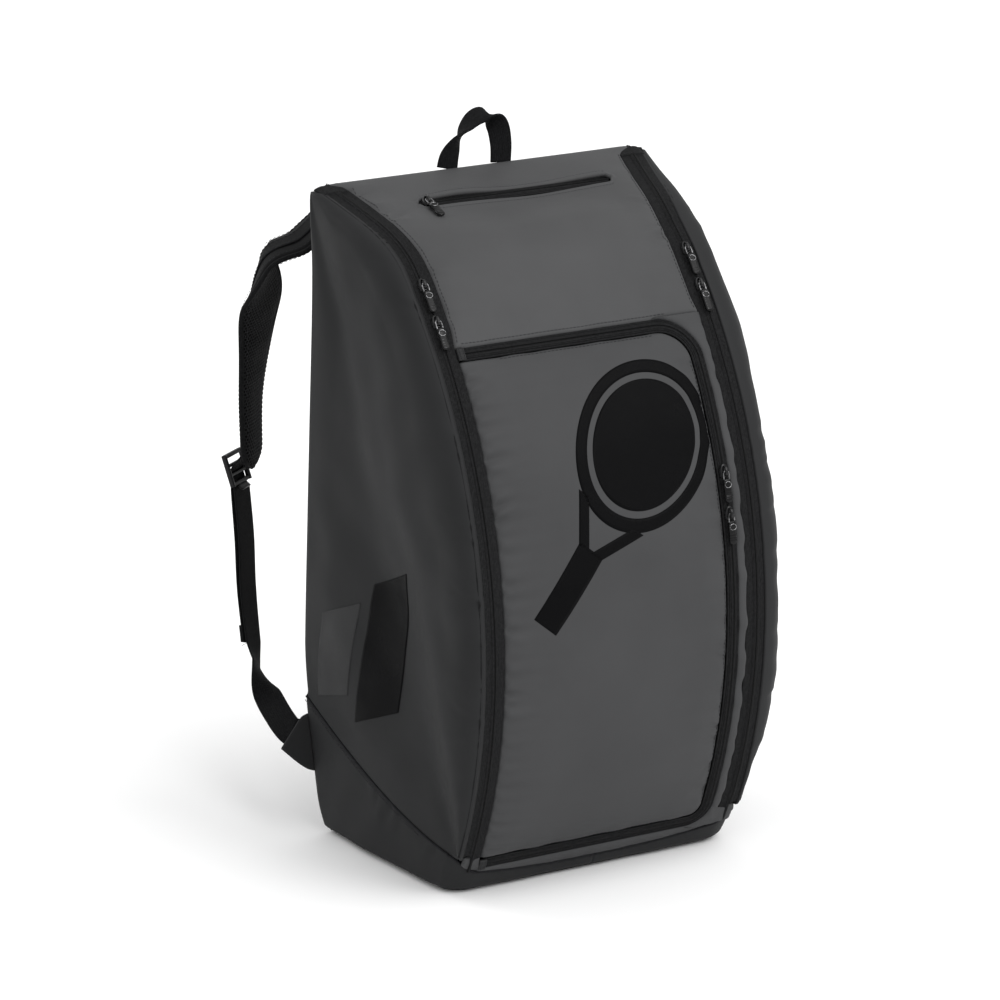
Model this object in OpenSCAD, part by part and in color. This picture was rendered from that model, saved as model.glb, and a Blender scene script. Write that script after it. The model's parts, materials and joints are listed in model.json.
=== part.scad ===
// Racket backpack with two side racket compartments, a front door and a top pocket.
// Millimetres. +Z is up, the front faces -Y, +X is the right side seen from the front.
// The origin is the middle of the flat underside of the base.
// Panels are laid on one side profile: s runs up the front from the floor to the back
// edge of the top, x runs across, d is the depth under the outer face.

/* [Body] */
// Plane of the outer back face, measured from the origin
back_y = 95; // [80:1:110]
// Height of the middle of the front arc above the floor
arc_z = 222; // [200:1:240]
// Distance of the front arc centre behind the origin
arc_y = 272.5; // [260:0.5:290]
// Radius of the bowed front
arc_r = 430; // [400:5:460]
// Lean of the slanted shoulder from upright, degrees
slant_a = 40; // [36:1:44]
// Radius of the fold between slant and top
fold_r = 153.4; // [140:0.2:170]
// Lean of the top from upright, degrees
top_a = 72; // [70:1:76]
// Rise of the top panel in the middle
top_crown = 12; // [0:1:16]
// Outward swell of the front door
door_crown = 7; // [0:1:10]
// Half width at the back edge where the bag is widest
wide_x = 177; // [165:1:185]

/* [Fabric] */
// Thickness of padded panels
panel_t = 3; // [2:0.5:4]
// Thickness of unpadded cloth
cloth_t = 1; // [0.8:0.1:1.5]
// Gap left at seams between panels
seam_gap = 0.3; // [0.3:0.1:0.6]

/* [Side zips] */
// Distance of the closed zip from the middle plane
zip_x = 129.5; // [126:0.5:132]
// Half width of the zip tape
tape_w = 10; // [8:0.5:11]
// Half width of the coil
coil_w = 2.6; // [2:0.1:3]
// Height of the coil above the tape face
coil_t = 1.4; // [1:0.1:1.8]
// Outward flare of the zip at the back of the top
flare = 21; // [10:1:24]

/* [Flaps] */
// Outward swell of a side flap behind its zip
flap_swell = 13; // [6:0.5:15]

/* [Door] */
// Left edge of the door, the sewn side
door_l = 118.9; // [115:0.1:119]
// Centre line of the door zip on the right side
door_zip_x = 106.5; // [104:0.5:108]
// Corner radius of the door zip, top
door_r = 34; // [28:1:40]
// Half width of the door zip band
door_band = 6; // [5:0.5:7]
// Distance up the profile of the lower door zip
door_s0 = 34; // [30:1:40]
// Distance up the profile of the upper door zip
door_s1 = 500; // [490:1:510]

/* [Pullers] */
// Length of a puller from its pin
pull_len = 27; // [22:1:32]
// Width of a puller tab
pull_w = 7.4; // [6:0.2:9]

/* [Straps] */
// Width of a shoulder pad
strap_w = 64; // [55:1:70]
// Thickness of a shoulder pad
strap_t = 10; // [6:1:14]
// Width of the webbing
web_w = 25; // [20:1:30]

/* [Hidden] */

$fn = 24;

// ---- side profile ----
arc_low = -asin(arc_z / arc_r);
slant_len = 24.8;
s_a = (slant_a - arc_low) * PI / 180 * arc_r;
p_a = [arc_y - arc_r * cos(slant_a), arc_z + arc_r * sin(slant_a)];
s_b = s_a + slant_len;
p_b = p_a + slant_len * [sin(slant_a), cos(slant_a)];
fold_c = p_b + fold_r * [cos(slant_a), -sin(slant_a)];
s_c = s_b + (top_a - slant_a) * PI / 180 * fold_r;
p_c = fold_c + fold_r * [-cos(top_a), sin(top_a)];
s_d = s_c + (back_y - p_c[0]) / sin(top_a);
top_z = p_c[1] + (s_d - s_c) * cos(top_a);

// Lean of the face from upright at distance s
function lean(s) =
    s < s_a ? arc_low + s / arc_r * 180 / PI :
    s < s_b ? slant_a :
    s < s_c ? slant_a + (s - s_b) / fold_r * 180 / PI : top_a;

// Profile point [y, z] at distance s
function prof(s) =
    s < s_a ? [arc_y - arc_r * cos(lean(s)), arc_z + arc_r * sin(lean(s))] :
    s < s_b ? p_a + (s - s_a) * [sin(slant_a), cos(slant_a)] :
    s < s_c ? fold_c + fold_r * [-cos(lean(s)), sin(lean(s))] :
    p_c + (s - s_c) * [sin(top_a), cos(top_a)];

// Distance up the front arc at height z
function s_at(z) = (asin((z - arc_z) / arc_r) - arc_low) * PI / 180 * arc_r;

function lerp(a, b, t) = a + (b - a) * t;
function clamp(v) = max(0, min(1, v));
function ease(v) = let (t = clamp(v)) t * t * (3 - 2 * t);
function steps(a, b, n) = [for (i = [0 : n]) a + (b - a) * i / n];

// The fold swells up between the side zips
function crown(s, x) =
    top_crown * ease((s - 510) / 80) * (1 - ease((s - 600) / 50)) * max(0, 1 - (x / 116) ^ 2);

// Point under the outer face
function at(s, x, d) =
    let (a = lean(s), p = prof(s), e = d - crown(s, x))
    [x, p[0] + cos(a) * e, p[1] - sin(a) * e];

// ---- side shape ----
// The side flap folds on the straight line from the top back corner to the lower front one
fold_top = [166, back_y, 584];
fold_low = [140, -115, 38];
fold_k = (fold_top[2] - fold_low[2]) / (fold_top[1] - fold_low[1]);
function fold_y(z) = fold_top[1] - (fold_top[2] - z) / fold_k;
function fold_z(y) = fold_top[2] - (fold_top[1] - y) * fold_k;
function fold_x(z) = lerp(fold_low[0], fold_top[0], (z - fold_low[2]) / (fold_top[2] - fold_low[2]));

// Half width at the back edge
function edge_x(z) =
    z > 180 ? wide_x - 15 * ((z - 180) / 400) ^ 1.1 : 161 + (wide_x - 161) * ease((z + 10) / 190);

// Seam between the base boot and the side
boot_front = 14;
function boot_z(y) = 38 + 92 * clamp((y + 116) / 211) ^ 1.5;

// Half width behind the fold line
function side_x(y, z) =
    let (t = (y - fold_y(z)) / (back_y - fold_y(z)), tuck = z < 38 ? 1 - 0.04 * (1 - z / 38) ^ 2 : 1)
    (lerp(fold_x(z), edge_x(z), t) + 4 * sin(180 * clamp(t))) * tuck;

// Lowest height of the side at depth y
function side_low(y) =
    y > arc_y - arc_r * cos(arc_low) ? 0 : arc_z - sqrt(arc_r ^ 2 - (arc_y - y) ^ 2);

// ---- side zip and door zip paths, as [x, s] ----
zip_s0 = s_at(40);
zip_s1 = 700;
function zip_at(s) = zip_x + flare * clamp((s - 590) / 123) ^ 1.4;
side_path = [for (s = concat(steps(zip_s0, 590, 20), steps(600, zip_s1, 10))) [zip_at(s), s]];

door_r2 = 18;
door_path = concat(
    [for (x = steps(-116, door_zip_x - door_r, 3)) [x, door_s1]],
    [for (a = steps(80, 0, 8))
        [door_zip_x - door_r + door_r * cos(a), door_s1 - door_r + door_r * sin(a)]],
    [for (s = steps(door_s1 - door_r - 20, door_s0 + door_r2 + 20, 16)) [door_zip_x, s]],
    [for (a = steps(0, -90, 6))
        [door_zip_x - door_r2 + door_r2 * cos(a), door_s0 + door_r2 + door_r2 * sin(a)]],
    [for (x = steps(60, -116, 3)) [x, door_s0]]
);

top_zip_s = 664;
top_zip_l = -84;
top_zip_r = 100;

// ---- solid builders ----
// Closed solid between an outer and an inner grid of points
module slab(outer, inner) {
    n = len(outer);
    m = len(outer[0]);
    k = n * m;
    function q(a, b, c, d) = [[a, b, c], [a, c, d]];
    faces = concat(
        [for (i = [0 : n - 2]) for (j = [0 : m - 2])
            each q(i * m + j, (i + 1) * m + j, (i + 1) * m + j + 1, i * m + j + 1)],
        [for (i = [0 : n - 2]) for (j = [0 : m - 2])
            each q(k + i * m + j + 1, k + (i + 1) * m + j + 1, k + (i + 1) * m + j, k + i * m + j)],
        [for (j = [0 : m - 2]) each q(j, j + 1, k + j + 1, k + j)],
        [for (j = [0 : m - 2])
            each q((n - 1) * m + j + 1, (n - 1) * m + j, k + (n - 1) * m + j, k + (n - 1) * m + j + 1)],
        [for (i = [0 : n - 2]) each q((i + 1) * m, i * m, k + i * m, k + (i + 1) * m)],
        [for (i = [0 : n - 2])
            each q(i * m + m - 1, (i + 1) * m + m - 1, k + (i + 1) * m + m - 1, k + i * m + m - 1)]
    );
    polyhedron(concat([for (r = outer) each r], [for (r = inner) each r]), faces, convexity = 8);
}

// Panel on the profile: rows of [s, x left, x right] and a number of columns
module panel(rows, cols, d0, d1) {
    outer = [for (r = rows) [for (u = steps(0, 1, cols)) at(r[0], lerp(r[1], r[2], u), d0)]];
    inner = [for (r = rows) [for (u = steps(0, 1, cols)) at(r[0], lerp(r[1], r[2], u), d1)]];
    slab(outer, inner);
}

// Strip following a path of [x, s], between two offsets to its right
function path_side(p, i) =
    let (a = p[max(0, i - 1)], b = p[min(len(p) - 1, i + 1)], t = (b - a) / norm(b - a)) [t[1], -t[0]];
module strip(path, o0, o1, d0, d1) {
    function edge(o, i, d) = let (w = path[i] + o * path_side(path, i)) at(w[1], w[0], d);
    outer = [for (i = [0 : len(path) - 1]) [edge(o0, i, d0), edge(o1, i, d0)]];
    inner = [for (i = [0 : len(path) - 1]) [edge(o0, i, d1), edge(o1, i, d1)]];
    slab(outer, inner);
}

// Flat band through space: middle points, width directions, half width, half thickness
module band(mids, wides, hw, ht) {
    n = len(mids);
    function dir(i) = let (v = mids[min(n - 1, i + 1)] - mids[max(0, i - 1)]) v / norm(v);
    function unit(v) = v / norm(v);
    function face(i) = unit(cross(dir(i), wides[i]));
    function wide(i) = unit(wides[i] - (wides[i] * dir(i)) * dir(i));
    top = [for (i = [0 : n - 1])
        [mids[i] - hw[i] * wide(i) - ht * face(i), mids[i] + hw[i] * wide(i) - ht * face(i)]];
    low = [for (i = [0 : n - 1])
        [mids[i] - hw[i] * wide(i) + ht * face(i), mids[i] + hw[i] * wide(i) + ht * face(i)]];
    slab(top, low);
}

// Smooth curve through a few points
function curve(p, n) =
    [for (i = [0 : len(p) - 2]) for (k = [0 : n - 1]) mid_point(p, i, k / n), p[len(p) - 1]];
function mid_point(p, i, t) =
    let (a = p[max(0, i - 1)], b = p[i], c = p[i + 1], d = p[min(len(p) - 1, i + 2)])
    0.5 * (2 * b + (c - a) * t + (2 * a - 5 * b + 4 * c - d) * t ^ 2 + (3 * b - a - 3 * c + d) * t ^ 3);

// Stands its children on the outer face: z outward, y up the profile
module on_face(s, x, h) {
    p = at(s, x, -h);
    translate(p) rotate([90 - lean(s), 0, 0]) children();
}

module both_of(right) {
    if (right) children();
    else mirror([1, 0, 0]) children();
}

// ---- body shell ----
module back_panel() {
    zs = steps(boot_z(back_y) + seam_gap, 574, 14);
    side = [for (z = zs) [edge_x(z) - panel_t - 1.5, z]];
    top = top_z - 4.4;
    other = [for (i = [len(side) - 1 : -1 : 0]) [-side[i][0], side[i][1]]];
    outline = concat(side, [[148, top], [-148, top]], other);
    color("#2b2c2e")
    translate([0, back_y, 0]) rotate([90, 0, 0]) linear_extrude(height = panel_t) polygon(outline);
}

module back_stiffener() {
    color("#b9b9b4")
    translate([-95, back_y - panel_t - seam_gap - 2, 12]) cube([190, 2, 545]);
}

pad_y = back_y + seam_gap;
module back_cushion(x0, x1, z0, z1, t) {
    color("#1e1f21")
    translate([0, pad_y, 0]) rotate([-90, 0, 0]) linear_extrude(height = t)
    hull() {
        for (x = [x0 + 18, x1 - 18]) for (z = [z0 + 18, z1 - 18]) translate([x, -z]) circle(18);
    }
}
module back_pads() {
    back_cushion(-118, -14, 235, 480, 9);
    back_cushion(14, 118, 235, 480, 9);
}
module lumbar_pad() { back_cushion(-122, 122, 138, 222, 12); }

module boot_side() {
    ys = concat(steps(-114, -97, 4), steps(-92, back_y, 16));
    outer = [for (v = steps(0, 1, 4)) [for (i = [len(ys) - 1 : -1 : 0])
        let (y = ys[i], z = lerp(side_low(y), boot_z(y), v)) [side_x(y, z), y, z]]];
    inner = [for (r = outer) [for (p = r) p - [panel_t, 0, 0]]];
    mirror([1, 0, 0]) slab(inner, outer);
}
module base_boot() {
    front_y = prof(0)[0];
    color("#232427")
    union() {
        boot_side();
        mirror([1, 0, 0]) boot_side();
        panel([for (s = steps(0, s_at(boot_front), 2)) [s, -139, 139]], 2, 0, panel_t);
        linear_extrude(height = panel_t)
        polygon([[-136, front_y + 1.5], [136, front_y + 1.5], [155, back_y - 1.5], [-155, back_y - 1.5]]);
        translate([-157, back_y - panel_t, 0]) cube([314, panel_t, boot_z(back_y)]);
    }
}

module base_board() {
    color("#a8a69e")
    translate([0, 0, panel_t + seam_gap]) linear_extrude(height = 2.5)
    polygon([[-128, -88], [128, -88], [147, 86], [-147, 86]]);
}

tape_in = tape_w + seam_gap;
module top_panel() {
    s0 = door_s1 + gusset_b + seam_gap;
    edge = tape_in + 0.5;
    rows = concat(
        [[s0, edge - zip_x, zip_x - edge]],
        [for (p = side_path) if (p[1] > s0 + 1) [p[1], edge - p[0], p[0] - edge]],
        [[zip_s1 + 2.9, edge - zip_at(zip_s1), zip_at(zip_s1) - edge]],
        [for (s = [zip_s1 + 3.2, s_d - 1.2]) [s, -153.5, 153.5]]
    );
    color("#4a4b4d")
    difference() {
        panel(rows, 12, 0, panel_t);
        on_face(top_zip_s, 0, 0) translate([top_zip_l - 2, -7, -15])
        cube([top_zip_r - top_zip_l + 4, 14, 30]);
    }
}

gusset_b = door_band + 0.5;
corner_x = 135.3;
corner_s = s_at(39);
function gusset_right(s) = s < corner_s + 0.01 ? corner_x : zip_x - tape_in;
function gusset_left(s) =
    s < door_s0 - gusset_b ? -corner_x :
    s < door_s0 + door_r2 ?
        door_zip_x - door_r2 + sqrt(max(0, (door_r2 + gusset_b) ^ 2 - (s - door_s0 - door_r2) ^ 2)) :
    s < door_s1 - door_r ? door_zip_x + gusset_b :
        door_zip_x - door_r + sqrt(max(0, (door_r + gusset_b) ^ 2 - (s - door_s1 + door_r) ^ 2));
module front_gusset() {
    g0 = s_at(boot_front) + seam_gap;
    g1 = door_s0 - gusset_b;
    ss = concat([g0, g1 - 0.02], [for (a = [90, 75, 60])
        door_s0 + door_r2 - (door_r2 + gusset_b) * sin(a) + 0.02],
        [door_s0 + 5, corner_s, corner_s + 0.02, door_s0 + 14],
        steps(door_s0 + door_r2, door_s1 - door_r, 16),
        [for (a = [15, 30, 45, 60, 72, 82, 89]) door_s1 - door_r + (door_r + gusset_b) * sin(a)]);
    color("#3a3b3d")
    union() {
        panel([for (s = ss) [s, gusset_left(s), gusset_right(s)]], 2, 0, panel_t);
        panel([for (s = [g0, g1 - 0.02, corner_s]) [s, -corner_x, -(zip_x - tape_in) - 0.5]], 1, 0, panel_t);
    }
}

module divider(right) {
    inner_d = 9;
    back = back_y - panel_t - 8;
    line = [for (s = steps(s_at(7) + 6, s_d - 20, 30)) let (p = at(s, 118, inner_d)) [p[1], p[2]]];
    outline = concat([[back, 7]], [[line[0][0], 7]], line, [[back, line[len(line) - 1][1]]]);
    color("#6d6e70")
    both_of(right)
    translate([100, 0, 0]) rotate([90, 0, 90]) linear_extrude(height = 4) polygon(outline);
}
module divider_left() { divider(false); }
module divider_right() { divider(true); }

// ---- sides ----
module side_rear(right) {
    ys = steps(-98, back_y, 22);
    outer = [for (v = steps(0, 1, 7)) [for (i = [len(ys) - 1 : -1 : 0])
        let (y = ys[i], z = lerp(boot_z(y) + seam_gap, fold_z(y) - 1.2, v)) [side_x(y, z), y, z]]];
    inner = [for (r = outer) [for (p = r) p - [panel_t, 0, 0]]];
    color("#333436")
    both_of(right) slab(outer, inner);
}
module side_rear_left() { side_rear(false); }
module side_rear_right() { side_rear(true); }

flap_s0 = s_at(48);
module side_flap(right) {
    ss = concat(steps(flap_s0, 540, 18), steps(555, zip_s1, 10));
    function row(s, t) =
        let (z = prof(s)[1], x0 = zip_at(s) + tape_w, a = at(s, x0, 1.4), y1 = fold_y(z) - 0.5,
            swell = min(flap_swell, 0.13 * (y1 - a[1])))
        [for (u = [0, 0.08, 0.18, 0.32, 0.5, 0.7, 0.86, 1])
            [lerp(x0, fold_x(z), u) + swell * sin(180 * u ^ 0.6) - t, lerp(a[1], y1, u), lerp(a[2], z, u)]];
    outer = [for (s = ss) row(s, 0)];
    inner = [for (s = ss) row(s, panel_t)];
    color("#333436")
    both_of(right) slab(outer, inner);
}
module side_flap_left() { side_flap(false); }
module side_flap_right() { side_flap(true); }

// ---- side zips ----
module side_tape_inner(right) {
    color("#17181a") both_of(right) strip(side_path, -tape_w, -0.3, 0, 0.9);
}
module side_tape_outer(right) {
    color("#17181a") both_of(right) strip(side_path, 0.3, tape_w, 0, 0.9);
}
module side_coil_inner(right) {
    color("#0e0e10") both_of(right) strip(side_path, -coil_w, -0.3, -coil_t, -0.05);
}
module side_coil_outer(right) {
    color("#0e0e10") both_of(right) strip(side_path, 0.3, coil_w, -coil_t, -0.05);
}
module side_tape_inner_left() { side_tape_inner(false); }
module side_tape_inner_right() { side_tape_inner(true); }
module side_tape_outer_left() { side_tape_outer(false); }
module side_tape_outer_right() { side_tape_outer(true); }
module side_coil_inner_left() { side_coil_inner(false); }
module side_coil_inner_right() { side_coil_inner(true); }
module side_coil_outer_left() { side_coil_outer(false); }
module side_coil_outer_right() { side_coil_outer(true); }

// ---- front door ----
function door_right(s) =
    let (b = gusset_b)
    s > door_s1 - door_r ?
        door_zip_x - door_r + sqrt(max(0, (door_r - b) ^ 2 - (s - door_s1 + door_r) ^ 2)) :
    s < door_s0 + door_r2 ?
        door_zip_x - door_r2 + sqrt(max(0, (door_r2 - b) ^ 2 - (s - door_s0 - door_r2) ^ 2)) :
        door_zip_x - b;
module front_door() {
    b0 = door_s0 + gusset_b;
    b1 = door_s1 - gusset_b;
    function swell(u, v) = door_crown * (1 - (2 * u - 1) ^ 2) * (1 - (2 * v - 1) ^ 4);
    ss = concat([for (a = [88, 60, 30]) door_s0 + door_r2 - (door_r2 - gusset_b) * sin(a)],
        steps(door_s0 + door_r2, door_s1 - door_r, 18),
        [for (a = [20, 38, 55, 70, 82, 89]) door_s1 - door_r + (door_r - gusset_b) * sin(a)]);
    function row(s, d) = [for (u = steps(0, 1, 10))
        at(s, lerp(-door_l, door_right(s), u), d - swell(u, clamp((s - b0) / (b1 - b0))))];
    color("#404143")
    slab([for (s = ss) row(s, 0)], [for (s = ss) row(s, panel_t)]);
}
module door_pocket() {
    face = panel_t + seam_gap;
    color("#5c5d60")
    panel([for (s = steps(70, 290, 12)) [s, -104, 88]], 2, face, face + cloth_t);
}
module door_tape_body() { color("#17181a") strip(door_path, -door_band, -0.3, 0, 0.9); }
module door_tape_door() { color("#17181a") strip(door_path, 0.3, door_band, 0, 0.9); }
module door_coil_body() { color("#0e0e10") strip(door_path, -coil_w, -0.3, -coil_t, -0.05); }
module door_coil_door() { color("#0e0e10") strip(door_path, 0.3, coil_w, -coil_t, -0.05); }
module door_zip_tabs() {
    color("#77787a")
    for (s = [door_s0, door_s1])
        panel([for (k = [-5, 5]) [s + k, -door_l - 0.3, -116.4]], 1, -2.4, 1.2);
}

// ---- top pocket ----
module top_zip_tape() {
    line = [for (x = steps(top_zip_l, top_zip_r, 4)) [x, top_zip_s]];
    color("#17181a") {
        strip(line, 2.3, 6.6, 0, 0.9);
        strip(line, -6.6, -2.3, 0, 0.9);
    }
}
module top_zip_coil() {
    color("#0e0e10")
    strip([for (x = steps(top_zip_l, top_zip_r, 4)) [x, top_zip_s]], -1.9, 1.9, -coil_t, -0.05);
}
module top_pocket_pouch() {
    wall = cloth_t;
    line = [for (s = steps(600, 692, 10)) let (p = at(s, 116, panel_t + 0.6)) [p[1], p[2]]];
    floor_z = 505;
    outer = concat([[line[0][0], floor_z], [line[10][0], floor_z]], [for (i = [10 : -1 : 0]) line[i]]);
    color("#4d4e52")
    translate([-94, 0, 0]) rotate([90, 0, 90])
    difference() {
        linear_extrude(height = 192) polygon(outer);
        translate([0, 0, wall]) linear_extrude(height = 192 - 2 * wall)
        polygon([[line[0][0] + wall, floor_z + wall], [line[10][0] - wall, floor_z + wall],
            [line[10][0] - wall, 640], [line[0][0] + wall, 640]]);
    }
}

// ---- sliders and pullers ----
lift = coil_t + 0.35;
pin_h = lift + 3.4;
module slider_at(s, x) {
    color("#0b0b0c")
    on_face(s, x, 0) difference() {
        union() {
            translate([-3.3, -5.5, lift]) cube([6.6, 9, 1.5]);
            translate([0, 3.2, lift]) cylinder(r = 3.3, h = 1.5);
            translate([-1.1, -4, lift]) cube([2.2, 8, 5.2]);
        }
        translate([-3, -2, pin_h - 1.1]) cube([6, 4, 2.2]);
    }
}
module puller_at(s, x, tilt) {
    tab = pull_len - 5.5;
    tip = -5.5 - tab + pull_w / 2;
    color("#121314")
    on_face(s, x, pin_h) rotate([tilt, 0, 0]) {
        translate([-2.9, 0, 0]) rotate([0, 90, 0]) cylinder(r = 0.6, h = 5.8);
        for (k = [-2.9, 1.7]) translate([k, -7, -0.6]) cube([1.2, 7, 1.2]);
        difference() {
            union() {
                translate([-pull_w / 2, tip, -1.1]) cube([pull_w, tab - pull_w / 2, 2.2]);
                translate([0, tip, -1.1]) cylinder(r = pull_w / 2, h = 2.2);
            }
            translate([-1.4, -19, -2]) cube([2.8, 8, 4]);
        }
    }
}

left_up = 566;
left_low = 531;
door_up = s_at(353);
door_low = door_up - 36;
top_x = -78;
module slider_left_upper() { slider_at(left_up, -zip_x); }
module slider_left_lower() { slider_at(left_low, -zip_x); }
module slider_right_upper() { slider_at(left_up, zip_x); }
module slider_right_lower() { slider_at(left_low, zip_x); }
module slider_door_upper() { slider_at(door_up, door_zip_x); }
module slider_door_lower() { slider_at(door_low, door_zip_x); }
module slider_top() { slider_at(top_zip_s, top_x); }
module puller_left_upper() { puller_at(left_up, -zip_x, 4); }
module puller_left_lower() { puller_at(left_low, -zip_x, 4); }
module puller_right_upper() { puller_at(left_up, zip_x, 4); }
module puller_right_lower() { puller_at(left_low, zip_x, 4); }
module puller_door_upper() { puller_at(door_up, door_zip_x, 4); }
module puller_door_lower() { puller_at(door_low, door_zip_x, 4); }
module puller_top() { puller_at(top_zip_s, top_x, 2); }

// ---- handle ----
handle_z = top_z + 2;
handle_y = back_y + 1.9;
module handle_tabs() {
    color("#141416")
    for (x = [-31, 22.5])
        translate([x - 10, back_y + seam_gap, top_z - 38]) cube([20, 3, 37.6]);
}
module grab_handle() {
    line = [[-31, 0, 2.8], [-28, 1, 8.4], [-20.5, 2.5, 19], [-10.5, 5, 30], [1, 7, 38.5],
        [12, 7, 40], [21, 4, 31], [23.5, 1.5, 15], [22.5, 0, 2.8]];
    mids = curve([for (p = line) p + [0, handle_y, handle_z]], 4);
    n = len(mids) - 1;
    wides = [for (i = [0 : n]) let (a = 180 * ease(i / n)) [cos(a), sin(a), 0.55 * sin(a)]];
    color("#141416")
    band(mids, wides, [for (i = [0 : n]) 10], 1.4);
}

// ---- shoulder straps, drawn on the left and mirrored ----
module strap_yoke() {
    color("#232427")
    translate([-108, back_y + seam_gap, 494]) cube([216, 1.8, 52]);
}
root_y = back_y + seam_gap + 2.2;
module strap_root(right) {
    mids = curve([[-62, root_y + 5.2, 500], [-63, root_y + 5.8, 530], [-66, 110, 549], [-76, 126, 557]], 4);
    n = len(mids) - 1;
    wides = [for (i = [0 : n]) [1, 0.5 * ease((i - 7) / (n - 7)), 0]];
    color("#1b1c1e")
    both_of(!right) band(mids, wides, [for (i = [0 : n]) strap_w / 2 - 2], 4);
}
pad_mids = curve([[-92, 142, 556], [-118, 150, 546], [-143, 158, 523], [-168, 170, 508],
    [-168, 184, 470], [-167.5, 197, 428], [-169, 206, 371], [-168, 207, 310]], 4);
pad_turn = [55, 75, 80, 70, 26, 34, 42, 40];
module strap_pad(right) {
    n = len(pad_mids) - 1;
    function turn(i) = let (k = min(6, floor(i / 4)), t = i / 4 - k) lerp(pad_turn[k], pad_turn[k + 1], t);
    wides = [for (i = [0 : n]) [cos(turn(i)), sin(turn(i)), 0]];
    hw = [for (i = [0 : n])
        strap_w / 2 - 10 * ease((8 - i) / 8) - 14 * ease((i - 14) / (n - 16)) - (i == n ? 7 : 0)];
    color("#1b1c1e")
    both_of(!right) band(pad_mids, wides, hw, strap_t / 2);
}
lock_c = [-176, 223, 306];
module ladder_lock(right) {
    color("#0d0d0e")
    both_of(!right) translate(lock_c) rotate([0, 0, 35]) rotate([-18, 0, 0])
    difference() {
        translate([-17, -2.2, -15]) cube([34, 4.4, 30]);
        for (z = [-11, -2.8, 5.4]) translate([-13.5, -3, z]) cube([27, 6, 5.6]);
    }
}
web_mids = curve([[-172, 221, 289], [-170.6, 216, 242], [-173.5, 208, 195], [-177.4, 192, 153],
    [-181.8, 178, 136.5], [-186.5, 152, 119.7], [-189.3, 122, 106.5], [-188, 104.4, 97.8]], 4);
web_turn = [[0.86, 0.51, 0], [0.86, 0.51, 0], [0.86, 0.51, 0], [0.8, 0.6, 0],
    [0.5, 0.87, 0], [0.52, 0.7, 0.42], [0.6, 0.3, 0.7], [0.64, 0, 0.77]];
module webbing(right) {
    n = len(web_mids) - 1;
    function turn(i) = let (k = min(6, floor(i / 4)), t = i / 4 - k) lerp(web_turn[k], web_turn[k + 1], t);
    tail = [for (i = [0 : 12]) web_mids[i] + [-1.5, 2.6, 0]];
    color("#131315")
    both_of(!right) {
        band(web_mids, [for (i = [0 : n]) turn(i)], [for (i = [0 : n]) web_w / 2], 0.8);
        band(tail, [for (p = tail) [0.86, 0.51, 0]], [for (p = tail) web_w / 2], 0.8);
    }
}
module anchor_wing(right) {
    color("#1f2022")
    both_of(!right) translate([0, back_y + seam_gap + 3, 0]) rotate([90, 0, 0]) linear_extrude(height = 3)
    polygon([[-150, 118], [-178, 111], [-200, 84], [-172, 60], [-150, 56]]);
}
module strap_root_left() { strap_root(false); }
module strap_root_right() { strap_root(true); }
module strap_pad_left() { strap_pad(false); }
module strap_pad_right() { strap_pad(true); }
module ladder_lock_left() { ladder_lock(false); }
module ladder_lock_right() { ladder_lock(true); }
module webbing_left() { webbing(false); }
module webbing_right() { webbing(true); }
module anchor_wing_left() { anchor_wing(false); }
module anchor_wing_right() { anchor_wing(true); }

back_panel();
back_stiffener();
back_pads();
lumbar_pad();
base_boot();
base_board();
top_panel();
front_gusset();
divider_left();
divider_right();
side_rear_left();
side_rear_right();
side_flap_left();
side_flap_right();
front_door();
door_pocket();
top_pocket_pouch();
side_tape_inner_left();
side_tape_inner_right();
side_tape_outer_left();
side_tape_outer_right();
side_coil_inner_left();
side_coil_inner_right();
side_coil_outer_left();
side_coil_outer_right();
door_tape_body();
door_tape_door();
door_coil_body();
door_coil_door();
door_zip_tabs();
top_zip_tape();
top_zip_coil();
slider_left_upper();
slider_left_lower();
slider_right_upper();
slider_right_lower();
slider_door_upper();
slider_door_lower();
slider_top();
puller_left_upper();
puller_left_lower();
puller_right_upper();
puller_right_lower();
puller_door_upper();
puller_door_lower();
puller_top();
handle_tabs();
grab_handle();
strap_yoke();
strap_root_left();
strap_root_right();
strap_pad_left();
strap_pad_right();
ladder_lock_left();
ladder_lock_right();
webbing_left();
webbing_right();
anchor_wing_left();
anchor_wing_right();
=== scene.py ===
import json
import math

import bmesh
import bpy
import numpy as np
from mathutils import Matrix, Vector, kdtree


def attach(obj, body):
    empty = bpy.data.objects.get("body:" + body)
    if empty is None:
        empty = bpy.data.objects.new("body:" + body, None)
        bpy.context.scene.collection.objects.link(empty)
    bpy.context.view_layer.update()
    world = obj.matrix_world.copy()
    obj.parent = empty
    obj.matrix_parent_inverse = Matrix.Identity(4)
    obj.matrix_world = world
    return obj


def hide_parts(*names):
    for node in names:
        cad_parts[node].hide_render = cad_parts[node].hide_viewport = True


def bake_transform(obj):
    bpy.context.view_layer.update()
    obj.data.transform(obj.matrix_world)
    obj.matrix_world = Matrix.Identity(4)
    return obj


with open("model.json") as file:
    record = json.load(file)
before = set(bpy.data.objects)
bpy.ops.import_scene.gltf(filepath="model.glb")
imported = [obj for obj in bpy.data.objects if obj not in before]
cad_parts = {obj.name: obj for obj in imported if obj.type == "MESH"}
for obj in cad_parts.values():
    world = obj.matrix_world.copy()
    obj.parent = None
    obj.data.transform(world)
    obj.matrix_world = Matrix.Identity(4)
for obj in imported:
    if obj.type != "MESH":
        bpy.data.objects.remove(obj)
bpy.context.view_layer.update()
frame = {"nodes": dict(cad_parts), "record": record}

MM = 0.001

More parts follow.
